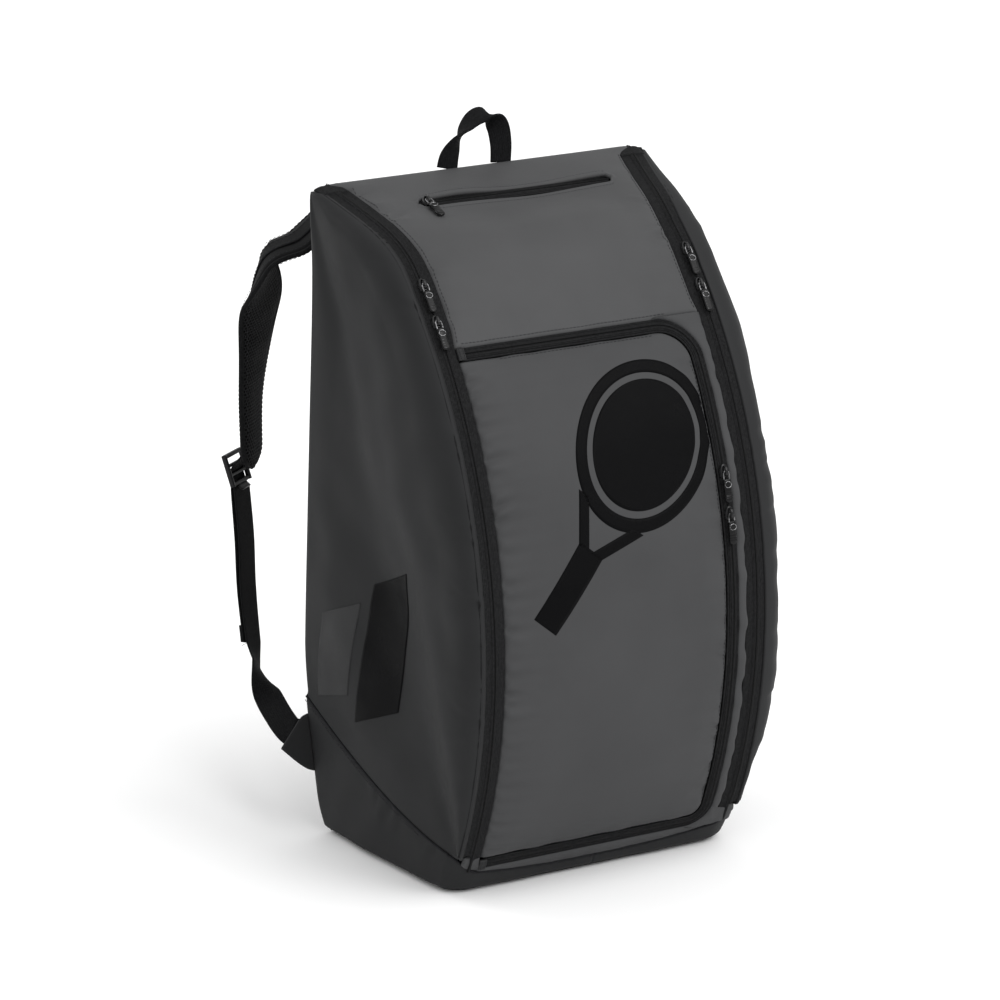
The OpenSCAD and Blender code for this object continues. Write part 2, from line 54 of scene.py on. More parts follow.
# ---- camera and light ----
cam_data = bpy.data.cameras.new("camera")
cam = bpy.data.objects.new("camera", cam_data)
bpy.context.scene.collection.objects.link(cam)
cam_data.lens = 178.74
cam_data.sensor_width = 36.0
cam_data.clip_end = 30
CAM_PLACE = (-2.0802, -3.5618, 1.5569)
CAM_AZ, CAM_EL = math.radians(-29.88), math.radians(16.85)
back = Vector((math.sin(CAM_AZ) * math.cos(CAM_EL), -math.cos(CAM_AZ) * math.cos(CAM_EL),
               math.sin(CAM_EL)))
cam.rotation_euler = back.to_track_quat("Z", "Y").to_euler()
cam.location = Vector(CAM_PLACE)
bpy.context.scene.camera = cam
bpy.context.scene.view_settings.view_transform = "Standard"

# ---- the side profile, the same as in the CAD, in millimetres ----
BACK_Y, ARC_Y, ARC_Z, ARC_R = 95.0, 272.5, 222.0, 430.0
SLANT_A, SLANT_LEN, FOLD_R, TOP_A = 40.0, 24.8, 153.4, 72.0
RAD = math.pi / 180
ARC_LOW = -math.degrees(math.asin(ARC_Z / ARC_R))
S_A = (SLANT_A - ARC_LOW) * RAD * ARC_R
P_A = np.array([ARC_Y - ARC_R * math.cos(SLANT_A * RAD), ARC_Z + ARC_R * math.sin(SLANT_A * RAD)])
S_B = S_A + SLANT_LEN
P_B = P_A + SLANT_LEN * np.array([math.sin(SLANT_A * RAD), math.cos(SLANT_A * RAD)])
FOLD_C = P_B + FOLD_R * np.array([math.cos(SLANT_A * RAD), -math.sin(SLANT_A * RAD)])
S_C = S_B + (TOP_A - SLANT_A) * RAD * FOLD_R
P_C = FOLD_C + FOLD_R * np.array([-math.cos(TOP_A * RAD), math.sin(TOP_A * RAD)])
S_D = S_C + (BACK_Y - P_C[0]) / math.sin(TOP_A * RAD)
TOP_Z = P_C[1] + (S_D - S_C) * math.cos(TOP_A * RAD)


def lean(s):
    s = np.asarray(s, float)
    return np.select(
        [s < S_A, s < S_B, s < S_C],
        [ARC_LOW + s / ARC_R / RAD, SLANT_A + 0 * s, SLANT_A + (s - S_B) / FOLD_R / RAD],
        TOP_A,
    )


def prof(s):
    s = np.asarray(s, float)
    a = lean(s) * RAD
    ca, sa = np.cos(a), np.sin(a)
    y = np.select(
        [s < S_A, s < S_B, s < S_C],
        [ARC_Y - ARC_R * ca, P_A[0] + (s - S_A) * math.sin(SLANT_A * RAD), FOLD_C[0] - FOLD_R * ca],
        P_C[0] + (s - S_C) * math.sin(TOP_A * RAD),
    )
    z = np.select(
        [s < S_A, s < S_B, s < S_C],
        [ARC_Z + ARC_R * sa, P_A[1] + (s - S_A) * math.cos(SLANT_A * RAD), FOLD_C[1] + FOLD_R * sa],
        P_C[1] + (s - S_C) * math.cos(TOP_A * RAD),
    )
    return y, z


def s_at(z):
    return (math.degrees(math.asin((z - ARC_Z) / ARC_R)) - ARC_LOW) * RAD * ARC_R


def ease(v):
    t = np.clip(v, 0, 1)
    return t * t * (3 - 2 * t)


def lerp(a, b, t):
    return a + (b - a) * t


def rise(d, width):
    """From 0 at a seam to 1 well away from it."""
    return 1 - np.exp(-d / width)


def ridge(d, width):
    return np.exp(-(d / width) ** 2)


def points(*parts):
    """Coordinates gathered in points; a plain number is the same for all of them."""
    return np.stack(np.broadcast_arrays(*parts), -1)


def flat_uv(a, b):
    return points(a, b) * MM


def lattice(rows, cols):
    return np.meshgrid(rows, cols, indexing="ij")


def crown(s, x):
    return 12 * ease((s - 510) / 80) * (1 - ease((s - 600) / 50)) * np.maximum(0, 1 - (x / 116) ** 2)


def at(s, x, d):
    """Point under the outer face: s up the front, x across, d deep."""
    s, x, d = np.broadcast_arrays(np.asarray(s, float), np.asarray(x, float), np.asarray(d, float))
    a = lean(s) * RAD
    y, z = prof(s)
    e = d - crown(s, x)
    return np.stack([x, y + np.cos(a) * e, z - np.sin(a) * e], axis=-1)


FOLD_TOP, FOLD_LOW = (166.0, 95.0, 584.0), (140.0, -115.0, 38.0)
FOLD_K = (FOLD_TOP[2] - FOLD_LOW[2]) / (FOLD_TOP[1] - FOLD_LOW[1])


def fold_y(z):
    return FOLD_TOP[1] - (FOLD_TOP[2] - z) / FOLD_K


def fold_x(z):
    return lerp(FOLD_LOW[0], FOLD_TOP[0], (z - FOLD_LOW[2]) / (FOLD_TOP[2] - FOLD_LOW[2]))


def edge_x(z):
    z = np.asarray(z, float)
    return np.where(
        z > 180,
        177 - 15 * (np.maximum(z - 180, 0) / 400) ** 1.1,
        161 + 16 * ease((z + 10) / 190),
    )


def boot_z(y):
    return 38 + 92 * np.clip((y + 116) / 211, 0, 1) ** 1.5


def side_x(y, z):
    t = (y - fold_y(z)) / (BACK_Y - fold_y(z))
    tuck = np.where(z < 38, 1 - 0.04 * (1 - z / 38) ** 2, 1)
    return (lerp(fold_x(z), edge_x(z), t) + 4 * np.sin(math.pi * np.clip(t, 0, 1))) * tuck


def zip_at(s):
    return 129.5 + 21 * np.clip((np.asarray(s, float) - 590) / 123, 0, 1) ** 1.4


def wave(seed, lo, hi, n=7):
    """A smooth one-line noise of wavelengths between lo and hi, about 1 high."""
    rng = np.random.RandomState(seed)
    lengths = np.exp(rng.uniform(math.log(lo), math.log(hi), n))
    phases = rng.uniform(0, 2 * math.pi, n)
    weights = rng.uniform(0.5, 1, n)
    weights /= np.sqrt((weights ** 2).sum() / 2)
    return lambda t: sum(w * np.sin(2 * math.pi * np.asarray(t, float) / l + p)
                         for w, l, p in zip(weights, lengths, phases)) * 0.6


def billow(seed, lo, hi, n=9):
    """A smooth noise over a surface, about 1 high."""
    rng = np.random.RandomState(seed)
    waves = [(math.exp(rng.uniform(math.log(lo), math.log(hi))), rng.uniform(0, 2 * math.pi),
              rng.uniform(0, 2 * math.pi)) for _ in range(n)]
    return lambda a, b: sum(np.sin(2 * math.pi * (a * math.cos(t) + b * math.sin(t)) / l + p)
                            for l, t, p in waves) / math.sqrt(n) * 1.1


def creases(seed, edge, inward, lo, hi, count, reach=(16, 40), wide=(2.6, 5.0), deep=(0.7, 1.9)):
    """Short soft folds that run inward from a seam; edge(v) gives the seam's place at v along it."""
    rng = np.random.default_rng(seed)
    rows = [(v, rng.uniform(*reach), rng.uniform(*wide), rng.uniform(*deep), rng.uniform(-0.5, 0.5))
            for v in np.sort(rng.uniform(lo, hi, count))]

    def field(a, v):
        out = np.zeros(np.broadcast(a, v).shape)
        for v0, length, width, depth, slope in rows:
            along = (a - edge(v0)) * inward
            off = (v - v0 - slope * along) / (width * (1 + 0.6 * np.clip(along / length, 0, 1)))
            fade = ease(1 - np.clip(along / length, 0, 1)) * ease(np.clip((along + 1.0) / 3.0, 0, 1))
            out = out + depth * fade * (0.7 * np.exp(-((off - 1.35) / 0.8) ** 2) - np.exp(-off ** 2))
        return out
    return field


# ---- materials ----
SLOT_COLOR = {m["slot"]: m["base_color"][:3] for m in frame["record"]["materials"]}
# top_cloth, front_cloth and side_cloth are one fabric: side_cloth is painted much darker as painted shade on
# the sides, and top_cloth lighter than front_cloth as painted light on the upturned top
SLOT_COLOR.update(
    top_cloth=(0.063, 0.0635, 0.065), front_cloth=(0.051, 0.0515, 0.053),
    side_cloth=(0.018, 0.0183, 0.019), boot_cloth=(0.022, 0.0223, 0.023),
    back_cloth=(0.026, 0.0263, 0.027), lining_cloth=(0.05, 0.0505, 0.0515),
    mesh_cloth=(0.024, 0.0243, 0.025), strap_cloth=(0.0085, 0.0086, 0.009),
    zip_tape=(0.011, 0.0111, 0.0115), zip_coil=(0.004, 0.004, 0.0042),
    tab_cloth=(0.024, 0.0243, 0.025), slider_metal=(0.006, 0.006, 0.0064),
    puller_gloss=(0.003, 0.003, 0.0032), webbing=(0.0065, 0.0066, 0.007),
    buckle_plastic=(0.0055, 0.0056, 0.006), board=(0.03, 0.0303, 0.031))
SLOT_COLOR.update(
    strap_mesh=SLOT_COLOR["strap_cloth"], print_gloss=(0.0022, 0.0022, 0.0025),
    print_grey=(0.036, 0.0363, 0.037), piping=(0.010, 0.010, 0.011), thread=(0.02, 0.02, 0.022),
    thread_grey=(0.16, 0.16, 0.165))


class Nodes:
    def __init__(self, name):
        self.mat = bpy.data.materials.new(name)
        self.mat.use_nodes = True
        self.t = self.mat.node_tree
        self.bsdf = self.t.nodes["Principled BSDF"]

    def new(self, kind, **props):
        n = self.t.nodes.new(kind)
        for k, v in props.items():
            setattr(n, k, v)
        return n

    def link(self, a, b):
        self.t.links.new(a, b)

    def feed(self, n, values):
        """Sets each input to its constant, or links it."""
        for i, v in enumerate(values):
            if isinstance(v, (int, float, tuple)):
                n.inputs[i].default_value = v
            else:
                self.link(v, n.inputs[i])

    def math(self, op, *values):
        n = self.new("ShaderNodeMath", operation=op)
        self.feed(n, values)
        return n.outputs[0]

    def vec(self, op, *values):
        n = self.new("ShaderNodeVectorMath", operation=op)
        self.feed(n, values)
        return n.outputs["Value"] if op == "LENGTH" else n.outputs["Vector"]

    def noise(self, coord, scale, detail=3.0, rough=0.5):
        n = self.new("ShaderNodeTexNoise")
        n.inputs["Scale"].default_value = scale
        n.inputs["Detail"].default_value = detail
        n.inputs["Roughness"].default_value = rough
        self.link(coord, n.inputs["Vector"])
        return n.outputs["Fac"]

    def fit(self, v, a, b, c, d):
        n = self.new("ShaderNodeMapRange")
        for k, x in zip(("From Min", "From Max", "To Min", "To Max"), (a, b, c, d)):
            n.inputs[k].default_value = x
        self.link(v, n.inputs["Value"])
        return n.outputs["Result"]

    def mix(self, f, a, b):
        n = self.new("ShaderNodeMix", data_type="RGBA")
        self.link(f, n.inputs[0])
        n.inputs[6].default_value = (*a, 1)
        n.inputs[7].default_value = (*b, 1)
        return n.outputs[2]

    def bump(self, height, distance, strength=1.0, after=None):
        n = self.new("ShaderNodeBump")
        n.inputs["Distance"].default_value = distance
        n.inputs["Strength"].default_value = strength
        self.link(height, n.inputs["Height"])
        if after is not None:
            self.link(after, n.inputs["Normal"])
        return n.outputs["Normal"]

    def attr(self, name):
        return self.new("ShaderNodeAttribute", attribute_name=name).outputs["Fac"]

    def coords(self):
        n = self.new("ShaderNodeTexCoord")
        return n.outputs["UV"], n.outputs["Object"]

    def split(self, v):
        n = self.new("ShaderNodeSeparateXYZ")
        self.link(v, n.inputs[0])
        return n.outputs[0], n.outputs[1]

    def wave(self, v, pitch, phase=0.0):
        return self.math("SINE", self.math("ADD", self.math("MULTIPLY", v, 2 * math.pi / pitch), phase))


def scaled(c, k):
    return tuple(min(1, v * k) for v in c)


def set_base(n, rough, specular=0.5, sheen=0.0, sheen_rough=0.5, coat=0.0, metallic=0.0):
    b = n.bsdf.inputs
    b["Roughness"].default_value = rough
    b["Specular IOR Level"].default_value = specular
    b["Sheen Weight"].default_value = sheen
    b["Sheen Roughness"].default_value = sheen_rough
    b["Coat Weight"].default_value = coat
    b["Metallic"].default_value = metallic


def coated_cloth(name, color, rough=0.56, pitch=0.00055, weave=0.10, patch=0.12, specular=0.1):
    """Matte coated polyester: a tight weave under a film, slight cloudiness and paler worn edges."""
    n = Nodes(name)
    uv, obj = n.coords()
    u, v = n.split(uv)
    set_base(n, rough, specular, sheen=0.01, sheen_rough=0.4)
    cloud = n.noise(obj, 9, 4, 0.55)
    fine = n.noise(obj, 900, 2, 0.6)
    tone = n.math("ADD", n.fit(cloud, 0.3, 0.7, 0, 0.7), n.math("MULTIPLY", fine, 0.3))
    worn = n.math("ADD", tone, n.math("MULTIPLY", n.attr("edge"), 0.9))
    n.link(n.mix(n.math("MINIMUM", worn, 1.6), scaled(color, 1 - patch), scaled(color, 1 + patch)),
           n.bsdf.inputs["Base Color"])
    n.link(n.fit(cloud, 0.25, 0.75, rough - 0.05, rough + 0.06), n.bsdf.inputs["Roughness"])
    warp = n.math("MULTIPLY", n.wave(u, pitch), n.wave(v, pitch))
    first = n.bump(n.math("ADD", warp, n.math("MULTIPLY", fine, 0.8)), 0.00006, weave * 3)
    second = n.bump(n.noise(obj, 55, 3, 0.5), 0.0009, 0.22, first)
    n.link(second, n.bsdf.inputs["Normal"])
    return n.mat


def ribbed_weave(name, color, across=0.0011, along=0.0008, depth=0.00025, rough=0.62):
    """Woven tape or webbing: ribs over the width and a weave along it, with painted shade in the grooves and
    painted light on the rib crests.
    """
    n = Nodes(name)
    uv, obj = n.coords()
    u, v = n.split(uv)
    set_base(n, rough, 0.03, sheen=0.004, sheen_rough=0.45)
    ribs = n.wave(u, across)
    rows = n.wave(v, along)
    weave = n.math("MULTIPLY", ribs, rows)
    height = n.math("ADD", weave, n.math("MULTIPLY", ribs, 0.5))
    fuzz = n.noise(obj, 1500, 2, 0.6)
    speck = n.fit(n.noise(obj, 560, 2, 0.7), 0.42, 0.62, 0.0, 0.5)
    flecks = n.math("ADD", n.math("MULTIPLY", fuzz, 0.3), speck)
    # painted shade and light: the colour follows the weave's height, darker in the grooves between ribs and
    # lighter on their crests
    tone = n.math("ADD", n.fit(height, -1.5, 1.5, 0.0, 0.6), flecks)
    tone = n.math("ADD", tone, n.math("MULTIPLY", n.attr("edge"), 0.6))
    n.link(n.mix(tone, scaled(color, 0.5), scaled(color, 1.9)), n.bsdf.inputs["Base Color"])
    height = n.math("ADD", height, n.math("MULTIPLY", fuzz, 0.5))
    n.link(n.bump(height, depth, 0.8), n.bsdf.inputs["Normal"])
    return n.mat


def hex_mesh(name, color, pitch=0.0042, depth=0.0009, rough=0.75):
    """Spacer mesh: rows of round holes in a hexagonal grid, with knitted threads between; the holes are
    painted dark as shade inside them.
    """
    n = Nodes(name)
    uv, obj = n.coords()
    set_base(n, rough, 0.03, sheen=0.008, sheen_rough=0.5)
    CELLS = 200  # keeps the coordinate positive, where a remainder is plain
    cell = (pitch, pitch * math.sqrt(3), 1.0)
    half = (pitch / 2, pitch * math.sqrt(3) / 2, 0.5)
    flat = n.vec("MULTIPLY", uv, (1, 1, 0))
    ways = []
    for shift in ((0.0, 0.0, 0.0), half[:2] + (0.0,)):
        moved = n.vec("ADD", n.vec("ADD", flat, (CELLS * cell[0], CELLS * cell[1], 0)), shift)
        m = n.vec("MODULO", moved, cell)
        ways.append(n.vec("LENGTH", n.vec("MULTIPLY", n.vec("SUBTRACT", m, half), (1, 1, 0))))
    d = n.math("MINIMUM", ways[0], ways[1])
    wall = n.fit(d, pitch * 0.22, pitch * 0.42, 0, 1)
    threads = n.noise(obj, 1600, 2, 0.6)
    tone = n.math("MULTIPLY", wall, n.fit(threads, 0.2, 0.8, 0.6, 1.0))
    # painted shade: the holes are darkened to a fifth of the colour for the shade down inside them
    n.link(n.mix(tone, scaled(color, 0.2), scaled(color, 2.6)), n.bsdf.inputs["Base Color"])
    height = n.math("ADD", wall, n.math("MULTIPLY", threads, 0.25))
    n.link(n.bump(height, depth, 0.9), n.bsdf.inputs["Normal"])
    return n.mat


def moulded(name, color, rough, coat=0.0, specular=0.25):
    """Moulded plastic or lacquered metal: fine orange-peel, hairline scratches, rubbed edges."""
    n = Nodes(name)
    uv, obj = n.coords()
    set_base(n, rough, specular, coat=coat)
    n.bsdf.inputs["Coat Roughness"].default_value = 0.12
    peel = n.noise(obj, 700, 3, 0.5)
    hair = n.noise(n.vec("MULTIPLY", obj, (1, 1, 9)), 420, 2, 0.7)
    n.link(n.fit(hair, 0.3, 0.75, rough * 0.8, rough * 1.5), n.bsdf.inputs["Roughness"])
    rubbed = n.math("ADD", n.math("MULTIPLY", peel, 0.35), n.math("MULTIPLY", n.attr("edge"), 0.8))
    n.link(n.mix(rubbed, color, scaled(color, 2.6)), n.bsdf.inputs["Base Color"])
    n.link(n.bump(peel, 0.0002, 0.35), n.bsdf.inputs["Normal"])
    return n.mat


def gloss_print(name, color, rough=0.3):
    """Glossy film printed over the weave, which still shows through it a little."""
    n = Nodes(name)
    uv, obj = n.coords()
    u, v = n.split(uv)
    set_base(n, rough, 0.04)
    fine = n.noise(obj, 1300, 2, 0.6)
    n.link(n.fit(n.noise(obj, 30, 3, 0.5), 0.3, 0.7, rough * 0.8, rough * 1.5), n.bsdf.inputs["Roughness"])
    n.link(n.mix(fine, scaled(color, 0.8), scaled(color, 1.3)), n.bsdf.inputs["Base Color"])
    weave = n.math("MULTIPLY", n.wave(u, 0.0011), n.wave(v, 0.0011))
    n.link(n.bump(n.math("ADD", weave, fine), 0.00012, 0.5), n.bsdf.inputs["Normal"])
    return n.mat


def metal_ring(name, _):
    """Bare metal, with the lacquer worn through in places."""
    n = Nodes(name)
    uv, obj = n.coords()
    set_base(n, 0.22, 0.6, metallic=1.0)
    worn = n.noise(obj, 600, 3, 0.6)
    bright = n.fit(worn, 0.35, 0.65, 0, 1)
    n.link(n.mix(bright, (0.03, 0.03, 0.031), (0.30, 0.30, 0.305)), n.bsdf.inputs["Base Color"])
    n.link(n.fit(worn, 0.3, 0.7, 0.16, 0.34), n.bsdf.inputs["Roughness"])
    n.link(n.bump(n.noise(obj, 2200, 2, 0.5), 0.00005, 0.5), n.bsdf.inputs["Normal"])
    return n.mat


FINISH = {
    "top_cloth": (coated_cloth, {}),
    "front_cloth": (coated_cloth, {}),
    "side_cloth": (coated_cloth, {}),
    "boot_cloth": (coated_cloth, dict(specular=0.06, rough=0.6, pitch=0.0009, weave=0.2)),
    "back_cloth": (coated_cloth, dict(rough=0.68, pitch=0.0011, weave=0.3)),
    "lining_cloth": (coated_cloth, dict(rough=0.66, pitch=0.0008, weave=0.25)),
    "mesh_cloth": (hex_mesh, {}),
    "strap_cloth": (coated_cloth, dict(specular=0.03, rough=0.6, pitch=0.0009, weave=0.25)),
    "strap_mesh": (hex_mesh, dict(pitch=0.0036)),
    "zip_tape": (ribbed_weave, dict(across=0.0016, along=0.0010, depth=0.0003)),
    "zip_coil": (moulded, dict(rough=0.32, specular=0.15)),
    "tab_cloth": (coated_cloth, dict(rough=0.6, pitch=0.0009, weave=0.25)),
    "slider_metal": (moulded, dict(rough=0.2, coat=0.05, specular=0.2)),
    "puller_gloss": (moulded, dict(rough=0.14, coat=0.05, specular=0.15)),
    "puller_ring": (metal_ring, {}),
    "webbing": (ribbed_weave, dict(across=0.0019, along=0.0012, depth=0.0004)),
    "buckle_plastic": (moulded, dict(rough=0.35, specular=0.15)),
    "board": (moulded, dict(rough=0.5)),
    "print_gloss": (gloss_print, {}),
    "print_grey": (gloss_print, dict(rough=0.45)),
    "piping": (ribbed_weave, dict(across=0.0015, along=0.0015, depth=0.0001)),
    "thread": (ribbed_weave, dict(across=0.0003, along=0.0004, depth=0.00005)),
    "thread_grey": (ribbed_weave, dict(across=0.0003, along=0.0004, depth=0.00005)),
}
M = {name: make(name, SLOT_COLOR.get(name), **look) for name, (make, look) in FINISH.items()}


# ---- mesh builders, in millimetres ----
def put_uv(mesh, uv):
    """UVs in metres, one pair for each point."""
    layer = mesh.uv_layers.get("UVMap") or mesh.uv_layers.new(name="UVMap")
    index = np.zeros(len(mesh.loops), int)
    mesh.loops.foreach_get("vertex_index", index)
    layer.data.foreach_set("uv", uv[index].astype(np.float32).ravel())


def build(name, verts, faces, mat, uv=None, edge=None):
    """An object from points in millimetres, with UVs in metres for each point and a wear value."""
    verts = np.asarray(verts, float).reshape(-1, 3)
    mesh = bpy.data.meshes.new(name)
    mesh.from_pydata((verts * MM).tolist(), [], faces)
    obj = bpy.data.objects.new(name, mesh)
    bpy.context.scene.collection.objects.link(obj)
    if uv is None:
        uv = verts[:, [0, 2]] * MM
    uv = np.asarray(uv, float).reshape(-1, 2)
    put_uv(mesh, uv)
    wear = mesh.attributes.new("edge", "FLOAT", "POINT")
    wear.data.foreach_set("value", np.zeros(len(verts), np.float32) if edge is None
                          else np.asarray(edge, np.float32).ravel())
    mesh.materials.append(M[mat])
    bm = bmesh.new()
    bm.from_mesh(mesh)
    bmesh.ops.recalc_face_normals(bm, faces=bm.faces)
    bm.to_mesh(mesh)
    bm.free()
    mesh.polygons.foreach_set("use_smooth", [True] * len(mesh.polygons))
    return obj


def skin_data(outer, inner, uv, edge, keep=None, wrap=False):
    """Points and faces of a closed sheet between two grids, with holes where keep is false.

    wrap joins the last row to the first.
    """
    n, m = outer.shape[:2]
    k = n * m
    cells = [(i, j) for i in range(n - 1) for j in range(m - 1) if keep is None or keep[i, j]]
    faces, rims = [], {}
    for i, j in cells:
        i2 = 0 if wrap and i == n - 2 else i + 1
        q = [i * m + j, i2 * m + j, i2 * m + j + 1, i * m + j + 1]
        faces.append(q)
        faces.append([v + k for v in reversed(q)])
        for a, b in zip(q, q[1:] + q[:1]):
            if (b, a) in rims:
                del rims[(b, a)]
            else:
                rims[(a, b)] = True
    for a, b in rims:
        faces.append([b, a, a + k, b + k])
    pts = np.concatenate([outer.reshape(-1, 3), inner.reshape(-1, 3)])
    uvs = np.concatenate([uv.reshape(-1, 2)] * 2)
    wears = np.concatenate([edge.reshape(-1)] * 2)
    used = np.unique(np.array([v for f in faces for v in f]))
    back = -np.ones(2 * k, int)
    back[used] = np.arange(len(used))
    faces = [[int(back[v]) for v in f] for f in faces]
    return pts[used], faces, uvs[used], wears[used]


def skin(name, outer, inner, mat, uv, edge=None, keep=None):
    edge = np.zeros(outer.shape[:2]) if edge is None else edge
    pts, faces, uvs, wears = skin_data(outer, inner, uv, edge, keep)
    return build(name, pts, faces, mat, uvs, wears)


def unit(v):
    v = np.asarray(v, float)
    return v / np.maximum(np.linalg.norm(v, axis=-1, keepdims=True), 1e-9)


def directions(path):
    path = np.asarray(path, float)
    d = np.empty_like(path)
    d[1:-1] = path[2:] - path[:-2]
    d[0], d[-1] = path[1] - path[0], path[-1] - path[-2]
    return unit(d)


def length_along(path):
    return np.concatenate([[0], np.cumsum(np.linalg.norm(np.diff(path, axis=0), axis=1))])


def ring_faces(n, m):
    """Faces of n rings of m points each, capped at both ends."""
    faces = [[i * m + j, i * m + (j + 1) % m, (i + 1) * m + (j + 1) % m, (i + 1) * m + j]
             for i in range(n - 1) for j in range(m)]
    return faces + [list(range(m))[::-1], [(n - 1) * m + j for j in range(m)]]


def sweep_data(path, wides, section):
    """A closed section, given at each path point as offsets (along wide, along face), swept and capped."""
    path, d = np.asarray(path, float), directions(path)
    w = np.asarray(wides, float)
    w = unit(w - (w * d).sum(1, keepdims=True) * d)
    f = unit(np.cross(d, w))
    section = np.asarray(section, float)
    if section.ndim == 2:
        section = np.repeat(section[None], len(path), 0)
    n, m = section.shape[:2]
    pts = path[:, None] + section[..., :1] * w[:, None] + section[..., 1:] * f[:, None]
    uv = flat_uv(section[..., 0], length_along(path)[:, None])
    return pts.reshape(-1, 3), ring_faces(n, m), uv.reshape(-1, 2)


class Heap:
    """Several closed shapes gathered in one mesh; turned multiplies their points, to mirror them."""

    def __init__(self, turned=(1, 1, 1)):
        self.pts, self.faces, self.uvs, self.wears, self.n = [], [], [], [], 0
        self.turned = np.asarray(turned)

    def add(self, pts, faces, uv=None, wear=0.0):
        pts = np.asarray(pts, float).reshape(-1, 3)
        self.pts.append(pts * self.turned)
        self.faces += [[v + self.n for v in f] for f in faces]
        self.uvs.append(pts[:, [0, 2]] * MM if uv is None else np.asarray(uv).reshape(-1, 2))
        self.wears.append(np.full(len(pts), wear) if np.isscalar(wear) else np.asarray(wear).ravel())
        self.n += len(pts)
        return self

    def sweep(self, path, wides, section, wear=0.0):
        pts, faces, uv = sweep_data(path, wides, section)
        return self.add(pts, faces, uv, wear)

    def tube(self, path, radius, sides=8, wear=0.0, hint=(0, 0, 1)):
        path = np.asarray(path, float)
        d = directions(path)
        w = np.cross(d, hint)
        bad = np.linalg.norm(w, axis=1) < 0.2
        w[bad] = np.cross(d[bad], (1, 0.3, 0))
        a = np.linspace(0, 2 * math.pi, sides, endpoint=False)
        r = np.broadcast_to(np.asarray(radius, float), (len(path),))
        section = r[:, None, None] * points(np.cos(a), np.sin(a))[None]
        return self.sweep(path, w, section, wear)

    def done(self, name, mat):
        return build(name, np.concatenate(self.pts), self.faces, mat, np.concatenate(self.uvs),
                     np.concatenate(self.wears))


def settle(obj, slot, body, *nodes, blend=None):
    """Hides the CAD nodes that a piece replaces, then attaches the piece to the body that it moves with, or,
    when blend is given, bakes its transform into its mesh and leaves it unparented; slot is not used.
    """
    if nodes:
        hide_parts(*nodes)
    if blend:
        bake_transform(obj)
    else:
        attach(obj, body)
    return obj


def cushion_section(hw, ht, corner=0.45, n=20):
    """A flat closed section with round ends."""
    a = np.linspace(0, 2 * math.pi, n, endpoint=False)
    c, s = np.cos(a), np.sin(a)
    return points(hw * np.sign(c) * np.abs(c) ** corner, ht * np.sign(s) * np.abs(s) ** corner)


def curve(points, n):
    """Smooth line through the points, with n steps between two."""
    p = np.asarray(points, float)
    out = []
    for i in range(len(p) - 1):
        a, b, c, d = p[max(0, i - 1)], p[i], p[i + 1], p[min(len(p) - 1, i + 2)]
        for k in range(n):
            t = k / n
            out.append(0.5 * (2 * b + (c - a) * t + (2 * a - 5 * b + 4 * c - d) * t ** 2
                              + (3 * b - a - 3 * c + d) * t ** 3))
    out.append(p[-1])
    return np.array(out)


def spaced(path, pitch):
    """Points a set distance apart along a line."""
    path = np.asarray(path, float)
    run = length_along(path)
    t = np.linspace(0, run[-1], max(3, int(round(run[-1] / pitch)) + 1))
    return np.stack([np.interp(t, run, path[:, k]) for k in range(path.shape[1])], -1)


def stitch_row(heap, path, out, pitch=3.6, length=2.5, radius=0.32):
    """Sewing stitches lying on a surface along a line; out is the surface's outward direction."""
    pts = spaced(path, pitch)
    d = directions(pts)
    outs = np.broadcast_to(np.asarray(out, float), pts.shape) if np.ndim(out) == 1 else spaced(out, pitch)
    if len(outs) != len(pts):
        t = np.linspace(0, 1, len(pts))
        old = np.linspace(0, 1, len(outs))
        outs = np.stack([np.interp(t, old, outs[:, k]) for k in range(3)], -1)
    for p, q, o in zip(pts, d, outs):
        ts = (-0.5, -0.3, 0.3, 0.5)
        line = [p + q * length * t + o * (0.05 if abs(t) > 0.4 else radius * 0.7) for t in ts]
        heap.tube(line, [radius * 0.5, radius, radius, radius * 0.5], 5, hint=o + 1e-3)


def front_stitches(heap, s, x, out, pitch=3.8, length=2.6, radius=0.24):
    """Stitches on a panel of the front whose face stands out by out."""
    stitch_row(heap, at(s, x, -(out + 0.1)), unit(at(s, x, -20) - at(s, x, 0)), pitch, length, radius)


def smooth_line(a, times):
    for _ in range(times):
        b = a.copy()
        b[:, 1:-1] = 0.25 * a[:, :-2] + 0.5 * a[:, 1:-1] + 0.25 * a[:, 2:]
        a = b
    return a


def roll(d, width=5.0, drop=1.6):
    """How far a panel's face falls away at its sewn edge."""
    return -drop * (1 - np.clip(d / width, 0, 1)) ** 2


def hemmed(d, place):
    """A fine ridge beside the seam, where the hem is stitched."""
    return 0.25 * ridge(d - place, 0.9)


SHEET = 2.9  # a panel of cloth over thin foam


# ---- door ----
DOOR_L, DOOR_ZIP_X, DOOR_S0, DOOR_S1, BAND = -118.9, 106.5, 34.0, 500.0, 6.3
DOOR_R, DOOR_R2 = 34.0, 18.0
TAPE_W, TAPE_OUT, COIL_T = 10.0, 13.0, 1.4


def tape_in(s):
    """Width of the side zip's inner tape, which widens beside the top panel."""
    return TAPE_W + 2.5 * ease(np.clip((np.asarray(s, float) - 503) / 22, 0, 1))


def door_right(s):
    s = np.asarray(s, float)
    hi = DOOR_ZIP_X - DOOR_R + np.sqrt(np.maximum(0, (DOOR_R - BAND) ** 2 - (s - DOOR_S1 + DOOR_R) ** 2))
    lo = DOOR_ZIP_X - DOOR_R2 + np.sqrt(np.maximum(0, (DOOR_R2 - BAND) ** 2 - (s - DOOR_S0 - DOOR_R2) ** 2))
    return np.where(s > DOOR_S1 - DOOR_R, hi, np.where(s < DOOR_S0 + DOOR_R2, lo, DOOR_ZIP_X - BAND))


